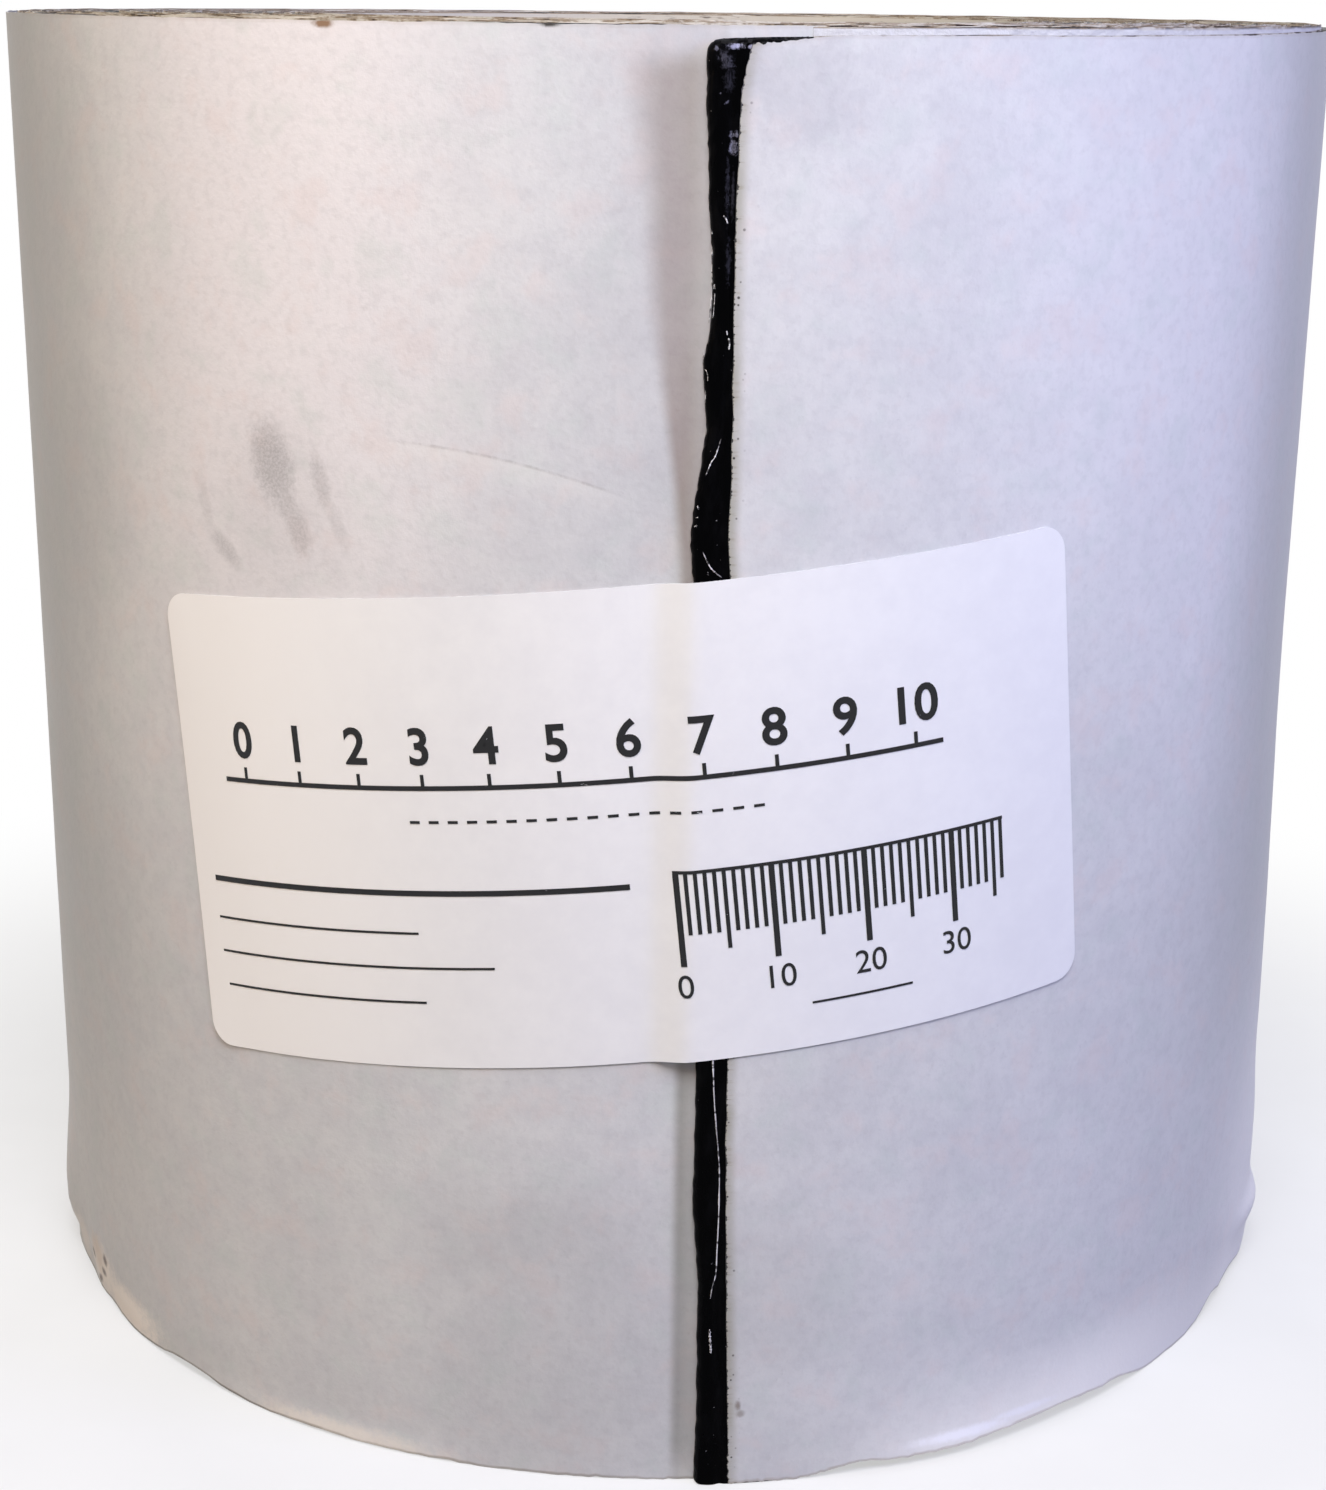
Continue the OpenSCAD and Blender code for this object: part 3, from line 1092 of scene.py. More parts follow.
# %% The liner's material
liner_material, tree, output = new_material("liner")
position = add_node(tree, "TexCoord").outputs["Object"]
flat = add_node(tree, "UVMap", uv_map="flat").outputs[0]
edge = add_node(tree, "SeparateXYZ", {0: add_node(tree, "UVMap", uv_map="edge").outputs[0]})
from_cut, from_rim = edge.outputs[0], edge.outputs[1]
flat_axes = add_node(tree, "SeparateXYZ", {0: flat})
fibres = use_group(tree, paper_group, {"Position": position})
body = blend(tree, ramp(tree, fibres.outputs["Cloud"], 0.30, 0.70),
             colour(205, 205, 209), colour(217, 217, 219))
body = blend(tree, ramp(tree, fibres.outputs["Fibre"], 0.58, 0.80, 0.0, 0.3),
             body, colour(184, 183, 187))
print("the liner starts with", len(tree.nodes), "nodes")

# %% Tone and tint of the paper
# Painted sheen: the paper is painted whiter in broad patches high up on both
# sides, where the lamps' broad highlights fall.
soft = ragged_by(tree, flat, 250.0, 0.3)
whiter = marks(tree, flat, [(58.0, 118.0, 42.0, 54.0, 0, 0.30)], soft)
body = blend(tree, whiter, body, colour(238, 236, 240))
# Painted sheen on the left: an upright band that fades out low down.
patch_x = sum_of(tree, "ADD", flat_axes.outputs[0], 0.044 - turn_length)
patch = ramp(tree, sum_of(tree, "ABSOLUTE", patch_x), 0.032, 0.0048)
patch = sum_of(tree, "MULTIPLY", patch, ramp(tree, flat_axes.outputs[1], 0.05, 0.12))
body = blend(tree, sum_of(tree, "MULTIPLY", patch, 0.75), body, colour(238, 233, 238))
mottle = noise(tree, flat, 800.0, 3.0, 0.6)
body = blend(tree, ramp(tree, mottle, 0.46, 0.66, 0.0, 0.13), body, colour(172, 171, 176))
# Its tint wanders a little too, to the pink side and to the green.
tint = noise(tree, flat, 150.0, 3.0, 0.6)
body = blend(tree, ramp(tree, tint, 0.52, 0.68, 0.0, 0.22), body, colour(226, 206, 204))
body = blend(tree, ramp(tree, tint, 0.48, 0.32, 0.0, 0.22), body, colour(196, 208, 205))
print("with its tone:", len(tree.nodes), "nodes")

# %% [markdown]
# Hands and benches have left their marks on the paper: grey smudges on the
# left, and low down, where the edge has been knocked, a stain with a tan spot
# in it. The stain is painted paler than the paper, a painted light that offsets
# the shade on the knocked bevel. Along the floor it is rubbed whiter. They are
# all ovals of the group above, each set being blended in with its own colour.

# %% Smudges and stains
fine = ragged_by(tree, flat, 1300.0, 0.7)
smudge = marks(tree, flat, [
    (-45.3, 109.1, 4.0, 6.6, 14, 0.66), (-43.9, 105.8, 2.2, 4.0, 22, 0.5),
    (-42.4, 103.0, 2.3, 4.8, 20, 0.5), (-39.4, 107.9, 1.6, 4.6, 14, 0.45),
    (-37.6, 103.8, 1.4, 4.2, 20, 0.25), (-52.0, 99.6, 1.5, 3.8, 48, 0.42),
    (-54.8, 103.8, 1.1, 5.0, 14, 0.2), (-38.5, 99.5, 2.0, 4.6, 20, 0.12),
    (-44.5, 105.5, 11.0, 12.0, 0, 0.15),
], fine)
rubbed = noise(tree, flat, 3500.0, 3.0, 0.65)
smudge = sum_of(tree, "MULTIPLY", smudge, ramp(tree, rubbed, 0.35, 0.65, 0.6, 1.0))
body = blend(tree, smudge, body, colour(146, 144, 147))
coarse = ragged_by(tree, flat, 700.0, 1.0)
# Painted light: this stain is paler than the paper, to offset the shade on the knocked bevel.
stain_and_painted_light = marks(tree, flat, [
    (-88.0, 3.2, 7.5, 4.6, 0, 1.0), (-79.0, 2.0, 12.0, 3.6, 0, 1.0),
    (-99.0, 3.0, 6.0, 4.0, 0, 0.6),
], coarse)
body = blend(tree, stain_and_painted_light, body, colour(255, 247, 241))
tan = marks(tree, flat, [(-89.5, 4.6, 4.4, 3.4, 0, 0.5), (-80.0, 1.2, 8.0, 1.8, 0, 0.1)],
            coarse)
body = blend(tree, tan, body, colour(196, 168, 138))
rubbed_white = marks(tree, flat, [(-40.0, 0.5, 17.0, 2.2, 0, 0.7)], coarse)
body = blend(tree, rubbed_white, body, colour(238, 230, 222))
print("with smudges and stains:", len(tree.nodes), "nodes")

# %% The lower margin
# Painted light: on the right the lower margin is painted paler, where the
# paper flares out into the light, and a painted highlight lies where the edge
# is turned up.
pale = sum_of(tree, "MULTIPLY", ramp(tree, flat_axes.outputs[1], 0.0140, 0.0015),
              sum_of(tree, "MULTIPLY", ramp(tree, flat_axes.outputs[0], 0.008, 0.055),
                     ramp(tree, flat_axes.outputs[0], 0.122, 0.110)))
far_right = sum_of(tree, "MULTIPLY", ramp(tree, flat_axes.outputs[1], 0.055, 0.008),
                   sum_of(tree, "MULTIPLY", ramp(tree, flat_axes.outputs[0], 0.066, 0.092),
                          ramp(tree, flat_axes.outputs[0], 0.125, 0.112)))
pale = sum_of(tree, "MAXIMUM", sum_of(tree, "MULTIPLY", pale, 0.92),
              sum_of(tree, "MULTIPLY", far_right, 0.6))
body = blend(tree, pale, body, colour(255, 252, 247))
shine = marks(tree, flat, [(31.5, 2.4, 9.0, 0.9, 0, 0.9), (40.0, 2.9, 6.0, 0.7, 0, 0.7)],
              fine)
body = blend(tree, shine, body, colour(250, 250, 255))
spots = marks(tree, flat, [
    (-92.2, 3.3, 1.1, 0.9, -20, 1.0), (-86.1, 5.0, 1.0, 1.2, -25, 1.0),
    (-87.3, 2.9, 1.2, 0.8, 0, 0.95), (-89.4, 1.1, 1.5, 0.8, 20, 0.95),
    (5.4, 9.6, 0.5, 0.8, 0, 0.7), (5.7, 8.6, 0.7, 0.6, 0, 0.5),
], fine)
body = blend(tree, spots, body, colour(92, 64, 42))
print("with its margin:", len(tree.nodes), "nodes")

# %% [markdown]
# The blade's cut is the dirtiest line on the paper. Oil from the compound has
# yellowed a millimetre beside it, the fibres there are torn and grey, and
# specks of the compound cling to it. All of these are bands of the distance
# from the cut, which the piece carries as a second map, broken up by noise
# that is stretched along the cut or across it.

# %% Along the cut
oil = sum_of(tree, "MULTIPLY", ramp(tree, from_cut, 0.0026, 0.0), 0.10)
oil_grain = noise(tree, stretched(tree, flat, 900.0, 350.0), 1.0, 4.0, 0.7)
body = blend(tree, sum_of(tree, "MULTIPLY", oil, oil_grain), body, colour(174, 158, 124))
yellowed = ramp(tree, sum_of(tree, "ADD", from_cut, sum_of(tree, "MULTIPLY", oil_grain, 0.0003)),
                0.0016, 0.0003)
in_places = noise(tree, stretched(tree, flat, 20.0, 90.0), 1.0, 2.0)
yellowed = sum_of(tree, "MULTIPLY", yellowed, ramp(tree, in_places, 0.42, 0.58, 0.65, 1.0))
body = blend(tree, yellowed, body, colour(172, 170, 162))
cut_line = ramp(tree, sum_of(tree, "ADD", from_cut, sum_of(tree, "MULTIPLY", oil_grain, 0.00035)),
                0.00038, 0.00018)
body = blend(tree, sum_of(tree, "MULTIPLY", cut_line, 0.6), body, colour(150, 140, 116))
teeth = noise(tree, stretched(tree, flat, 400.0, 2400.0), 1.0, 3.0, 0.7)
torn = sum_of(tree, "MULTIPLY", ramp(tree, teeth, 0.52, 0.68), ramp(tree, from_cut, 0.0009, 0.0003))
body = blend(tree, sum_of(tree, "MULTIPLY", torn, 0.5), body, colour(150, 140, 120))
bitten = ramp(tree, sum_of(tree, "SUBTRACT", from_cut, sum_of(tree, "MULTIPLY",
              ramp(tree, teeth, 0.45, 0.75), 0.00022)), 0.00006, 0.00001)
body = blend(tree, bitten, body, colour(24, 22, 20))
specks = add_node(tree, "TexVoronoi", {"Vector": flat, "Scale": 900.0}).outputs["Distance"]
near_cut = ramp(tree, from_cut, 0.0017, 0.0002)
speck_mask = sum_of(tree, "MULTIPLY", ramp(tree, specks, 0.16, 0.08), near_cut)
body = blend(tree, speck_mask, body, colour(34, 28, 24))
print("with its cut:", len(tree.nodes), "nodes")

# %% Dirt on the rims
rim_dirt = noise(tree, stretched(tree, flat, 120.0, 1400.0), 1.0, 4.0, 0.7)
rim_reach = sum_of(tree, "SUBTRACT", from_rim, sum_of(tree, "MULTIPLY", rim_dirt, 0.0006))
rim_line = ramp(tree, rim_reach, 0.0001, -0.0002, 0.0, 0.55)
rim_line = sum_of(tree, "MULTIPLY", rim_line,
                  ramp(tree, flat_axes.outputs[1], 0.01, 0.14, 0.8, 0.25))
body = blend(tree, rim_line, body, colour(150, 134, 112))

# %% [markdown]
# Beside the bead, on the turn below, a shadow is painted into the paper, which
# deepens the shade that the step casts: a narrow band below the label and a
# wide one with a soft edge above it, short of both ends. A fainter painted
# shade spreads wider round it above the label. The band's half width and
# softness are ramps of the height.

# %% Painted shadow beside the bead
beside = sum_of(tree, "SUBTRACT", turn_length + 0.3 * mm, flat_axes.outputs[0])
height_up = flat_axes.outputs[1]
band_half = sum_of(tree, "ADD", ramp(tree, height_up, 0.095, 0.135, 0.0019, 0.0053),
                   ramp(tree, height_up, 0.134, 0.147, 0.0, 0.0011))
band_soft = sum_of(tree, "ADD", ramp(tree, height_up, 0.11, 0.14, 0.0007, 0.0017),
                   ramp(tree, height_up, 0.134, 0.147, 0.0, 0.0008))
band = add_node(tree, "MapRange", {
    0: beside,
    1: sum_of(tree, "ADD", band_half, band_soft),
    2: sum_of(tree, "SUBTRACT", band_half, band_soft),
}, interpolation_type="SMOOTHSTEP").outputs[0]
band = sum_of(tree, "MULTIPLY", band, ramp(tree, beside, -0.0022, -0.0014))
below_top = sum_of(tree, "ADD", height_up, sum_of(tree, "MULTIPLY", beside, 0.1))
band = sum_of(tree, "MULTIPLY", band, ramp(tree, below_top, 0.1515, 0.1480))
band = sum_of(tree, "MULTIPLY", band, ramp(tree, beside, 0.0, 0.0022, 0.6, 1.0))
band = sum_of(tree, "MULTIPLY", band, ramp(tree, height_up, 0.0, 0.005, 0.3, 1.0))
# The painted shadow's colour: a warm dark brown, redder above the label.
painted_shadow_colour = blend(tree, ramp(tree, height_up, 0.05, 0.11), colour(72, 62, 36), colour(110, 72, 40))
band = sum_of(tree, "MULTIPLY", band, ramp(tree, height_up, 0.11, 0.125, 0.56, 0.47))
body = blend(tree, band, body, painted_shadow_colour)
# Painted shade: a wider, fainter grey round the band, above the label.
painted_shade_round_band = sum_of(tree, "MULTIPLY", ramp(tree, beside, 0.018, 0.004),
                ramp(tree, beside, -0.0022, -0.0014))
painted_shade_round_band = sum_of(tree, "MULTIPLY", painted_shade_round_band, ramp(tree, height_up, 0.08, 0.11))
body = blend(tree, sum_of(tree, "MULTIPLY", painted_shade_round_band, 0.17), body, colour(120, 116, 118))
print("with the oil:", len(tree.nodes), "nodes")

# %% The crease
# A shallow crease runs down to the tail, painted in. Its line is a parabola in
# the distance from the bead: a thin line of painted shade, with painted light
# on the paper below it.
sag = sum_of(tree, "MULTIPLY", sum_of(tree, "MULTIPLY", beside, beside), 7.2)
crease_line = sum_of(tree, "SUBTRACT", sum_of(tree, "MULTIPLY", beside, 0.47), sag)
above = sum_of(tree, "SUBTRACT", sum_of(tree, "SUBTRACT", height_up, crease_line), 0.1049)
along = sum_of(tree, "MULTIPLY", ramp(tree, beside, 0.034, 0.026), ramp(tree, beside, 0.006, 0.012))
crease_shade = ramp(tree, sum_of(tree, "ABSOLUTE", above), 0.00026, 0.00003)
crease_shade = sum_of(tree, "MULTIPLY", crease_shade, ramp(tree, mottle, 0.42, 0.58, 0.4, 1.0))
body = blend(tree, sum_of(tree, "MULTIPLY", sum_of(tree, "MULTIPLY", crease_shade, along), 0.27),
             body, colour(128, 120, 118))
crease_light = sum_of(tree, "MULTIPLY", ramp(tree, above, 0.0001, -0.0002),
                    ramp(tree, above, -0.0030, -0.0002))
body = blend(tree, sum_of(tree, "MULTIPLY", sum_of(tree, "MULTIPLY", crease_light, along), 0.24),
             body, colour(238, 236, 232))
print("with the crease:", len(tree.nodes), "nodes")

# %% Painted shade, spots and greyer places
# Painted shade: beside the top of the bead the paper is painted greyer and a
# little blue.
painted_shade_by_bead = marks(tree, flat, [
    (9.0, 146.0, 9.0, 8.0, 0, 0.5), (5.5, 148.0, 5.0, 5.0, 0, 0.6),
], coarse)
body = blend(tree, sum_of(tree, "MULTIPLY", painted_shade_by_bead, 0.36), body, colour(140, 138, 156))

# On the liner's top edge there is a rusty spot, and a black tick on the right.
edge_spot = marks(tree, flat, [(-37.7, 151.9, 1.7, 0.55, 0, 0.9)], coarse)
body = blend(tree, edge_spot, body, colour(120, 80, 34))
tick = marks(tree, flat, [(66.3, 151.9, 0.5, 0.6, 0, 1.0), (52.7, 152.1, 0.35, 0.4, 20, 0.7),
                          (-14.7, 152.2, 1.4, 0.45, 0, 1.0)], coarse)
body = blend(tree, tick, body, colour(36, 29, 24))

# It is a little greyer in broad places: low down about the tail, and in one on
# the left.
greyer_patches = marks(tree, flat, [
    (-13.0, 12.0, 20.0, 24.0, 0, 0.16), (8.0, 22.0, 16.0, 14.0, 0, 0.12),
    (-16.0, 26.0, 18.0, 12.0, 0, 0.16), (-78.0, 103.0, 15.0, 24.0, 0, 0.15),
    (-78.0, 130.0, 13.0, 30.0, 0, 0.08),
], soft)
body = blend(tree, greyer_patches, body, colour(120, 118, 120))

# %% The dark lower edge
# The lower edge on the left is painted with a thin dark line.
dark_lower_edge = sum_of(tree, "MULTIPLY", ramp(tree, from_rim, 0.00034, 0.00012),
                ramp(tree, height_up, 0.012, 0.006))
dark_lower_edge = sum_of(tree, "MULTIPLY", dark_lower_edge,
                sum_of(tree, "MULTIPLY", ramp(tree, beside, 0.035, 0.060, 0.2, 0.75),
                       ramp(tree, beside, 0.112, 0.104)))
dark_lower_edge = sum_of(tree, "MULTIPLY", dark_lower_edge, ramp(tree, rim_dirt, 0.35, 0.55, 0.4, 1.0))
body = blend(tree, dark_lower_edge, body, colour(78, 76, 74))
print("with its marks:", len(tree.nodes), "nodes")

# %% The liner's shader
# Painted shade: seen along its face the paper is painted darker, towards the
# roll's outline, but less so low down, and hardly at all low on the right,
# where the margin is painted paler.
painted_edge_shade = add_node(tree, "LayerWeight", {"Blend": 0.5}).outputs["Facing"]
shade_from = ramp(tree, height_up, 0.050, 0.080, 0.33, 0.50)
painted_edge_shade = ramp(tree, painted_edge_shade, shade_from, 0.82, 0.0, 0.46)
painted_edge_shade = sum_of(tree, "MULTIPLY", painted_edge_shade, ramp(tree, height_up, 0.010, 0.060, 0.35, 1.0))
painted_edge_shade = sum_of(tree, "MULTIPLY", painted_edge_shade, sum_of(
    tree, "SUBTRACT", 1.0, sum_of(tree, "MULTIPLY", far_right, 0.85)))
body = blend(tree, painted_edge_shade, body, colour(124, 127, 132))

liner_bump = add_node(tree, "Bump", {"Strength": 0.35, "Distance": 0.0002,
                      "Height": fibres.outputs["Height"]})
liner_shader = add_node(tree, "BsdfPrincipled", {
    "Base Color": body,
    "Roughness": ramp(tree, fibres.outputs["Cloud"], 0.3, 0.7, 0.44, 0.52),
    "Specular IOR Level": 0.6,
    "Normal": liner_bump.outputs[0],
})
tree.links.new(liner_shader.outputs[0], output.inputs["Surface"])
print("liner:", len(tree.nodes), "nodes")

# %% [markdown]
# ### The label and its ink
#
# The label is a whiter, smoother paper, whitest at its left end. Its print is
# from a ribbon printer, which leaves tiny gaps in the black where the ribbon
# hasn't touched, so the ink's material goes back to the label's white there.

# %% The label's material
label_material, tree, output = new_material("label")
position = add_node(tree, "TexCoord").outputs["Object"]
fibres = use_group(tree, paper_group, {"Position": position})
label_white = blend(tree, ramp(tree, fibres.outputs["Cloud"], 0.30, 0.70),
                    colour(237, 237, 240), colour(243, 243, 245))
along_label = add_node(tree, "SeparateXYZ", {0: add_node(tree, "UVMap", uv_map="flat").outputs[0]})
label_white = blend(tree, ramp(tree, along_label.outputs[0], -0.012, -0.042), label_white,
                    colour(253, 252, 253))
# Painted shade: where the label's cut edge faces up it is painted grey, so
# that it doesn't catch the light from above.
facing_up = add_node(tree, "SeparateXYZ", {0: add_node(tree, "TexCoord").outputs["Normal"]})
label_white = blend(tree, ramp(tree, facing_up.outputs[2], 0.4, 0.7), label_white,
                    colour(196, 196, 200))
label_bump = add_node(tree, "Bump", {"Strength": 0.12, "Distance": 0.0001,
                      "Height": fibres.outputs["Height"]})
label_shader = add_node(tree, "BsdfPrincipled", {
    "Base Color": label_white,
    "Roughness": ramp(tree, fibres.outputs["Fibre"], 0.3, 0.7, 0.50, 0.60),
    "Specular IOR Level": 0.45,
    "Normal": label_bump.outputs[0],
})
tree.links.new(label_shader.outputs[0], output.inputs["Surface"])
print("label:", len(tree.nodes), "nodes")

# %% The ink
ink_material, tree, output = new_material("ink")
position = add_node(tree, "TexCoord").outputs["Object"]
gaps = noise(tree, stretched(tree, position, 1.0, 1.0, 2.2), 900.0, 3.0, 0.65)
ink_colour = blend(tree, ramp(tree, gaps, 0.72, 0.78), colour(20, 20, 23), colour(225, 225, 228))
ink_shader = add_node(tree, "BsdfPrincipled", {
    "Base Color": ink_colour,
    "Roughness": ramp(tree, gaps, 0.3, 0.7, 0.40, 0.55),
    "Specular IOR Level": 0.3,
})
tree.links.new(ink_shader.outputs[0], output.inputs["Surface"])

# %% The threads' material
# White, grey in places and black in others.
thread_material, tree, output = new_material("thread")
position = add_node(tree, "TexCoord").outputs["Object"]
soiled = noise(tree, position, 260.0, 2.0, 0.6)
strand = noise(tree, position, 5000.0, 2.0, 0.5)
thread_colour = blend(tree, ramp(tree, soiled, 0.45, 0.70),
                      colour(226, 225, 228), colour(112, 108, 106))
thread_colour = blend(tree, ramp(tree, strand, 0.55, 0.7, 0.0, 0.5),
                      thread_colour, colour(120, 116, 114))
dark_breaks = noise(tree, position, 1500.0, 2.0, 0.6)
thread_colour = blend(tree, ramp(tree, dark_breaks, 0.50, 0.60, 0.0, 0.9),
                      thread_colour, colour(16, 15, 17))
thread_shader = add_node(tree, "BsdfPrincipled", {
    "Base Color": thread_colour,
    "Roughness": ramp(tree, strand, 0.3, 0.7, 0.55, 0.75),
    "Specular IOR Level": 0.3,
})
tree.links.new(thread_shader.outputs[0], output.inputs["Surface"])
print("thread:", len(tree.nodes), "nodes")

# %% [markdown]
# ### The compound
#
# A black, tacky rubber. It is glossy where it has flowed and duller where the
# dust has settled. Pale lavender patches along it are painted reflections, and
# small light dots here and there are painted glints.

# %% The compound's material
compound_material, tree, output = new_material("compound")
position = add_node(tree, "TexCoord").outputs["Object"]
skin = noise(tree, stretched(tree, position, 1.0, 1.0, 0.35), 700.0, 4.0, 0.6)
lumps = noise(tree, stretched(tree, position, 1.0, 1.0, 0.6), 250.0, 2.0, 0.5)
# Painted glints: small light dots here and there.
glint_place = noise(tree, position, 2300.0, 2.0, 0.6)
painted_glint_dots = ramp(tree, glint_place, 0.745, 0.775)
black = blend(tree, ramp(tree, skin, 0.45, 0.75), colour(0, 0, 1), colour(6, 6, 8))
black = blend(tree, sum_of(tree, "MULTIPLY", painted_glint_dots, 0.6), black, colour(150, 148, 150))

# %% Painted reflections on it
# Painted reflections: pale lavender patches at the bead's top and along it,
# broken up by a fine grain.
flat = add_node(tree, "UVMap", uv_map="flat").outputs[0]
painted_reflections = marks(tree, flat, [
    (2.5, 150.4, 1.15, 0.3, 4, 1.0), (4.0, 150.4, 0.5, 0.25, 0, 0.9),
    (0.75, 150.2, 0.25, 0.3, 0, 0.35), (1.7, 149.2, 0.8, 1.3, 30, 0.14),
    (2.0, 147.4, 0.7, 1.4, 0, 0.06), (2.55, 142.5, 0.65, 0.4, 0, 0.5),
    (2.5, 141.3, 0.6, 0.75, 0, 0.5), (1.8, 145.4, 0.35, 0.14, 30, 0.3),
    (1.15, 146.2, 0.15, 0.15, 0, 0.3), (2.0, 137.5, 0.3, 3.5, 0, 0.07),
    (2.5, 136.8, 0.2, 2.8, 0, 0.07), (2.2, 131.0, 0.35, 2.6, 0, 0.06),
], ragged_by(tree, flat, 2400.0, 2.6))
reflection_grain = noise(tree, stretched(tree, flat, 4200.0, 1300.0), 1.0, 4.0, 0.7)
painted_reflections = sum_of(tree, "MULTIPLY", painted_reflections, ramp(tree, reflection_grain, 0.36, 0.60))
black = blend(tree, painted_reflections, black, colour(168, 167, 190))

# %% The compound's shader
compound_height = sum_of(tree, "ADD", sum_of(tree, "MULTIPLY", lumps, 0.7),
                         sum_of(tree, "MULTIPLY", skin, 0.3))
compound_bump = add_node(tree, "Bump", {"Strength": 0.6, "Distance": 0.0004,
                         "Height": compound_height})
compound_shader = add_node(tree, "BsdfPrincipled", {
    "Base Color": black,
    "Roughness": ramp(tree, skin, 0.35, 0.7, 0.20, 0.40),
    "Specular IOR Level": 0.025,
    "Normal": compound_bump.outputs[0],
})
tree.links.new(compound_shader.outputs[0], output.inputs["Surface"])
print("compound:", len(tree.nodes), "nodes")

# %% [markdown]
# ### The turns on the ends
#
# The same compound, with the edges of the paper and of the film between the
# turns. The fraction of the unrolled map's u says which layer is seen. Dust
# and the compound itself have dirtied the edges of the paper, in streaks that
# run along the strip.

# %% The turns' materials
ends_material, tree, output = new_material("turns")
position = add_node(tree, "TexCoord").outputs["Object"]
strip = add_node(tree, "SeparateXYZ", {0: add_node(tree, "UVMap", uv_map="strip").outputs[0]})
across = sum_of(tree, "FRACT", strip.outputs[0])
skin = noise(tree, position, 900.0, 4.0, 0.65)
dust = noise(tree, position, 160.0, 4.0, 0.7)
dark = blend(tree, ramp(tree, skin, 0.35, 0.75), colour(20, 19, 19), colour(46, 44, 43))
dark = blend(tree, ramp(tree, dust, 0.55, 0.78, 0.0, 0.55), dark, colour(116, 106, 94))
streak_at = add_node(tree, "CombineXYZ", {0: sum_of(tree, "MULTIPLY", strip.outputs[1], 100.0),
                     1: sum_of(tree, "MULTIPLY", strip.outputs[0], 5.0)}).outputs[0]
streak = noise(tree, streak_at, 1.0, 4.0, 0.65)
paper_edge = blend(tree, ramp(tree, streak, 0.40, 0.52),
                   colour(190, 184, 174), colour(140, 120, 98))
paper_edge = blend(tree, ramp(tree, streak, 0.52, 0.62), paper_edge, colour(44, 34, 27))
film_edge = blend(tree, ramp(tree, skin, 0.4, 0.7), colour(192, 188, 181), colour(130, 122, 112))
film_edge = blend(tree, ramp(tree, streak, 0.54, 0.64), film_edge, colour(60, 48, 40))
is_film = ramp(tree, across, float(film_from) - 0.012, float(film_from) - 0.004)
is_liner = ramp(tree, across, float(liner_from) - 0.008, float(liner_from) - 0.004)
layers = blend(tree, is_film, dark, film_edge)
layers = blend(tree, is_liner, layers, paper_edge)
print("turns:", len(tree.nodes), "nodes for the layers")

# %% The walls between slipped turns
# Where a turn has slipped, the face of the paper beneath it shows as a wall.
is_face = sum_of(tree, "MULTIPLY",
                 ramp(tree, across, float(liner_from) - 0.007, float(liner_from) - 0.005),
                 ramp(tree, across, float(liner_from) + 0.0075, float(liner_from) + 0.006))
# It is clean under the last turn, but for its very top. Further in it is
# soiled, most of all in the outer turns.
soiled_wall = blend(tree, ramp(tree, dust, 0.35, 0.65),
                    colour(204, 199, 190), colour(172, 165, 154))
soiled_wall = blend(tree, ramp(tree, streak, 0.44, 0.54), soiled_wall, colour(134, 120, 102))
outer = ramp(tree, strip.outputs[0], 3.0, 12.0, 0.0, 0.08)
soiled_wall = blend(tree, ramp(tree, sum_of(tree, "SUBTRACT", streak, outer), 0.50, 0.58),
                    soiled_wall, colour(50, 40, 32))
height_of = add_node(tree, "SeparateXYZ", {0: position}).outputs[2]
very_top = ramp(tree, sum_of(tree, "SUBTRACT", height_of, sum_of(tree, "MULTIPLY", streak, 0.0006)),
                0.15165, 0.15190, 0.0, 0.8)
wall_dirt = sum_of(tree, "MAXIMUM", ramp(tree, strip.outputs[0], 1.2, 1.4), very_top)
wall = blend(tree, wall_dirt, colour(211, 211, 214), soiled_wall)
layers = blend(tree, is_face, layers, wall)

# %% The turns' shader
ends_bump = add_node(tree, "Bump", {"Strength": 0.7, "Distance": 0.0003, "Height": skin})
ends_shader = add_node(tree, "BsdfPrincipled", {
    "Base Color": layers,
    "Roughness": ramp(tree, skin, 0.3, 0.7, 0.55, 0.80),
    "Specular IOR Level": 0.3,
    "Normal": ends_bump.outputs[0],
})
tree.links.new(ends_shader.outputs[0], output.inputs["Surface"])
print("turns:", len(tree.nodes), "nodes")

# %% The film in the bore
# A thin white plastic, shinier than the paper and a little worn.
film_material, tree, output = new_material("film")
position = add_node(tree, "TexCoord").outputs["Object"]
wear = noise(tree, position, 90.0, 5.0, 0.65)
fine = noise(tree, stretched(tree, position, 1.0, 1.0, 0.3), 800.0, 3.0, 0.6)
film_white = blend(tree, ramp(tree, wear, 0.5, 0.8), colour(226, 226, 224), colour(202, 200, 194))
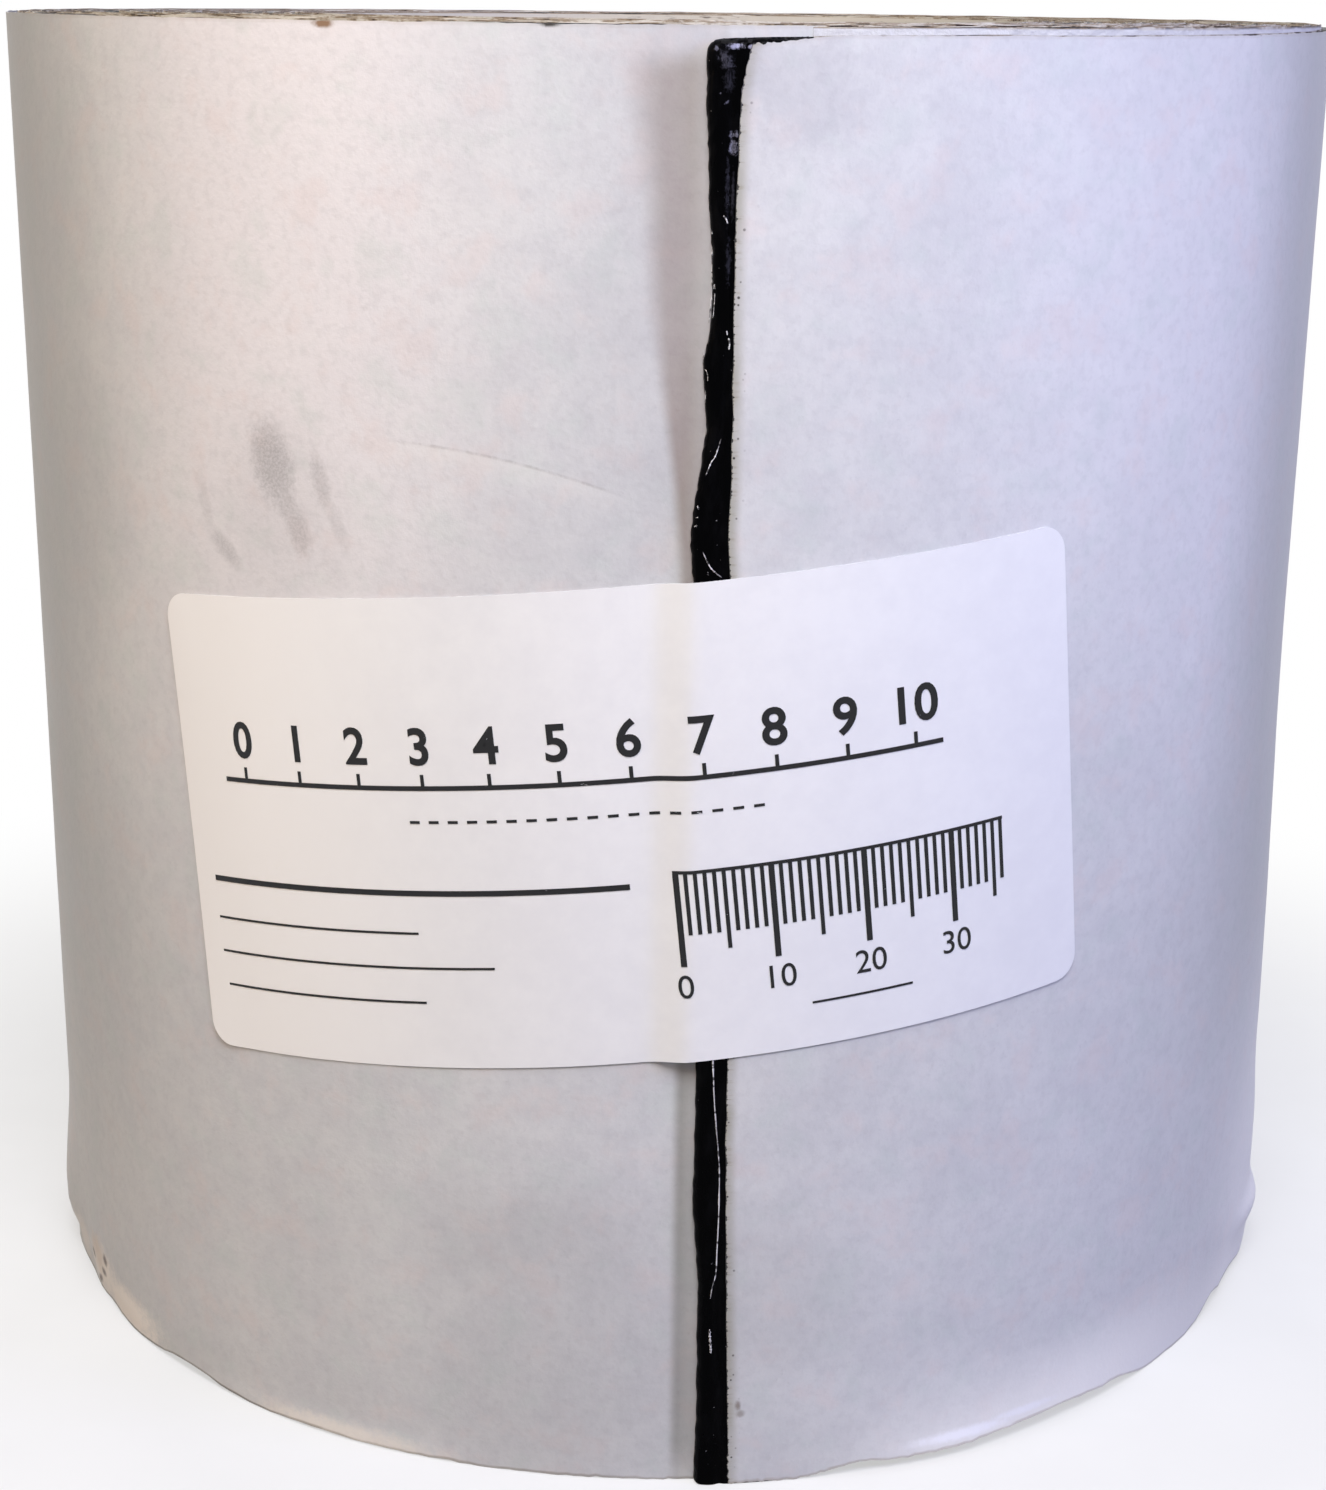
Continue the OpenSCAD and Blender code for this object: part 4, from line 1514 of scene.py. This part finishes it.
# Near both ends the bore is soiled by dust and by the compound.
height_in_bore = add_node(tree, "SeparateXYZ", {0: position}).outputs[2]
from_middle = sum_of(tree, "ABSOLUTE", sum_of(tree, "SUBTRACT", height_in_bore, tape_width / 2))
soil = noise(tree, stretched(tree, position, 1.0, 1.0, 6.0), 120.0, 4.0, 0.7)
soiled = sum_of(tree, "ADD", ramp(tree, from_middle, 0.0715, 0.0755, 0.0, 0.9),
                sum_of(tree, "MULTIPLY", soil, 0.2), clamp=True)
soiled = sum_of(tree, "MULTIPLY", soiled, ramp(tree, from_middle, 0.066, 0.0745))
film_white = blend(tree, soiled, film_white, colour(188, 182, 172))
film_white = blend(tree, sum_of(tree, "MULTIPLY", ramp(tree, soil, 0.58, 0.70), soiled),
                   film_white, colour(90, 78, 66))
film_bump = add_node(tree, "Bump", {"Strength": 0.3, "Distance": 0.0003, "Height": fine})
film_shader = add_node(tree, "BsdfPrincipled", {
    "Base Color": film_white,
    "Roughness": ramp(tree, wear, 0.3, 0.7, 0.30, 0.50),
    "Specular IOR Level": 0.5,
    "Normal": film_bump.outputs[0],
})
tree.links.new(film_shader.outputs[0], output.inputs["Surface"])
print("film:", len(tree.nodes), "nodes")

# %% [markdown]
# ## What each piece is
#
# Each piece is given its material and the body that it moves with, and the
# node of the imported model that it stands for is hidden. The finish that the
# record names is listed beside each piece but not used.

# %% Join the pieces to the imported model
for piece, material, node, slot in (
    (turns_piece, ends_material, "tape_roll", "compound"),
    (bead_piece, compound_material, None, "compound"),
    (liner_piece, liner_material, "release_liner", "liner"),
    (label_piece, label_material, "label", "label"),
    (print_piece, ink_material, None, "label"),
    (thread_piece, thread_material, None, "liner"),
):
    piece.data.materials.append(material)
    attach(piece, "root")
    if node:
        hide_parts(node)
turns_piece.data.materials.append(film_material)
wall_material = np.zeros(len(turns_piece.data.polygons), np.int32)
wall_material[wall_first:wall_last] = 1
turns_piece.data.polygons.foreach_set("material_index", wall_material)

# %% [markdown]
# ## Floor, light and camera
#
# A plain pale floor and plain soft light. The floor is white to the camera
# away from the roll, and near the roll it is a real surface that takes its
# shadow. The main lamp hangs high in front, near enough that its light falls
# off towards the floor. A small warm one stands to the left and a small cool
# one to the right, nearly side-on to the tail, so that the step of one turn
# casts a soft shadow. A larger one behind keeps the far side from being dark.

# %% Seen by the camera
def is_seen(tree):
    """1 where the camera looks, also in a reflection or through glass, and 0
    for the light that a surface sends on to others."""
    light_path = add_node(tree, "LightPath")
    return sum_of(tree, "MAXIMUM", light_path.outputs["Is Camera Ray"],
                  sum_of(tree, "MAXIMUM", light_path.outputs["Is Glossy Ray"],
                         light_path.outputs["Is Transmission Ray"]))


# %% Floor
stage_size, spokes = 6.0, 96
a = np.linspace(0, 2 * np.pi, spokes, endpoint=False)
radii = np.array([0.02, 0.1, 0.2, 0.4, 0.8, 1.6, stage_size])[:, None]
floor_points = np.stack([radii * np.cos(a), radii * np.sin(a), 0 * radii + 0 * a], -1)
i, j = np.meshgrid(np.arange(len(radii) - 1), np.arange(spokes), indexing="ij")
n, n_next = i * spokes + j, i * spokes + (j + 1) % spokes
floor_faces = np.stack([n, n + spokes, n_next + spokes, n_next], -1).reshape(-1, 4).tolist()
floor_faces.append(list(range(spokes)))
floor_piece = make_object("floor", floor_points.reshape(-1, 3), floor_faces)
print("floor:", triangles(floor_piece), "triangles")

# %% The floor's material
floor_material, tree, output = new_material("floor")
position = add_node(tree, "TexCoord").outputs["Object"]
seen = is_seen(tree)
far = add_node(tree, "VectorMath", {0: position}, operation="LENGTH").outputs["Value"]
white_part = sum_of(tree, "MULTIPLY", seen, ramp(tree, far, 0.08, 0.20, 0.55, 1.0))
grain = noise(tree, position, 60.0, 3.0)
floor_colour = blend(tree, ramp(tree, grain, 0.3, 0.7),
                     colour(205, 205, 207), colour(209, 209, 211))
floor_colour = blend(tree, seen, colour(132, 132, 135), floor_colour)
floor_shader = add_node(tree, "BsdfDiffuse", {"Color": floor_colour})
floor_white = add_node(tree, "Emission", {"Color": (1, 1, 1, 1), "Strength": 1.0})
floor_mix = add_node(tree, "MixShader", {0: white_part, 1: floor_shader.outputs[0],
                     2: floor_white.outputs[0]})
tree.links.new(floor_mix.outputs[0], output.inputs["Surface"])
floor_piece.data.materials.append(floor_material)

# %% World
world = bpy.data.worlds.new("studio")
bpy.context.scene.world = world
world.use_nodes = True
tree = world.node_tree
tree.nodes.clear()
plain = add_node(tree, "Background", {"Color": (0.97, 0.97, 1.0, 1), "Strength": 0.03})
white = add_node(tree, "Background", {"Color": (1, 1, 1, 1), "Strength": 1.0})
mixed = add_node(tree, "MixShader", {0: is_seen(tree), 1: plain.outputs[0],
                 2: white.outputs[0]})
tree.links.new(mixed.outputs[0], add_node(tree, "OutputWorld").inputs["Surface"])


# %% Lamps
def add_lamp(name, place, towards, size, power, tint):
    """A square area lamp of the given size that faces a point."""
    lamp = bpy.data.lights.new(name, "AREA")
    lamp.shape, lamp.size, lamp.energy, lamp.color = "SQUARE", size, power, tint
    holder = bpy.data.objects.new(name, lamp)
    bpy.context.scene.collection.objects.link(holder)
    holder.location = place
    away = Vector(place) - Vector(towards)
    holder.rotation_euler = away.to_track_quat("Z", "Y").to_euler()


add_lamp("lamp_front", (0.0, -0.30, 0.50), (0, 0, 0.10), 0.26, 3.18, (0.95, 0.955, 1.0))
add_lamp("lamp_left", (-0.40, -0.26, 0.31), (0, 0, 0.12), 0.24, 0.78, (1.0, 0.72, 0.38))
add_lamp("lamp_right", (0.42, -0.24, 0.31), (0, 0, 0.12), 0.16, 1.18, (0.50, 0.52, 1.0))
add_lamp("lamp_back", (-0.1, 0.55, 0.50), (0, 0, 0.10), 0.40, 2.2, (1.0, 1.0, 1.0))

# %% Camera
# It is turned by its yaw, tilted down by its pitch, and rolled by a little.
yaw, pitch_angle, roll_angle = np.radians([2.982, -16.367, 0.659])
forward = np.array([math.sin(yaw) * math.cos(pitch_angle),
                    math.cos(yaw) * math.cos(pitch_angle), math.sin(pitch_angle)])
right = np.array([math.cos(yaw), -math.sin(yaw), 0])
upright = np.cross(right, forward)
axis_x = right * math.cos(roll_angle) + upright * math.sin(roll_angle)
axis_y = -right * math.sin(roll_angle) + upright * math.cos(roll_angle)
pose = np.eye(4)
pose[:3, 0], pose[:3, 1], pose[:3, 2] = axis_x, axis_y, -forward
pose[:3, 3] = np.array([-16.1, -321.1, 155.08]) * mm
lens = bpy.data.cameras.new("camera")
lens.lens, lens.sensor_width, lens.clip_start = 61.92, 36.0, 0.01
camera = bpy.data.objects.new("camera", lens)
camera.matrix_world = Matrix(pose.tolist())
bpy.context.scene.collection.objects.link(camera)
bpy.context.scene.camera = camera
bpy.context.scene.view_settings.view_transform = "Standard"
print("camera at", tuple(camera.location))
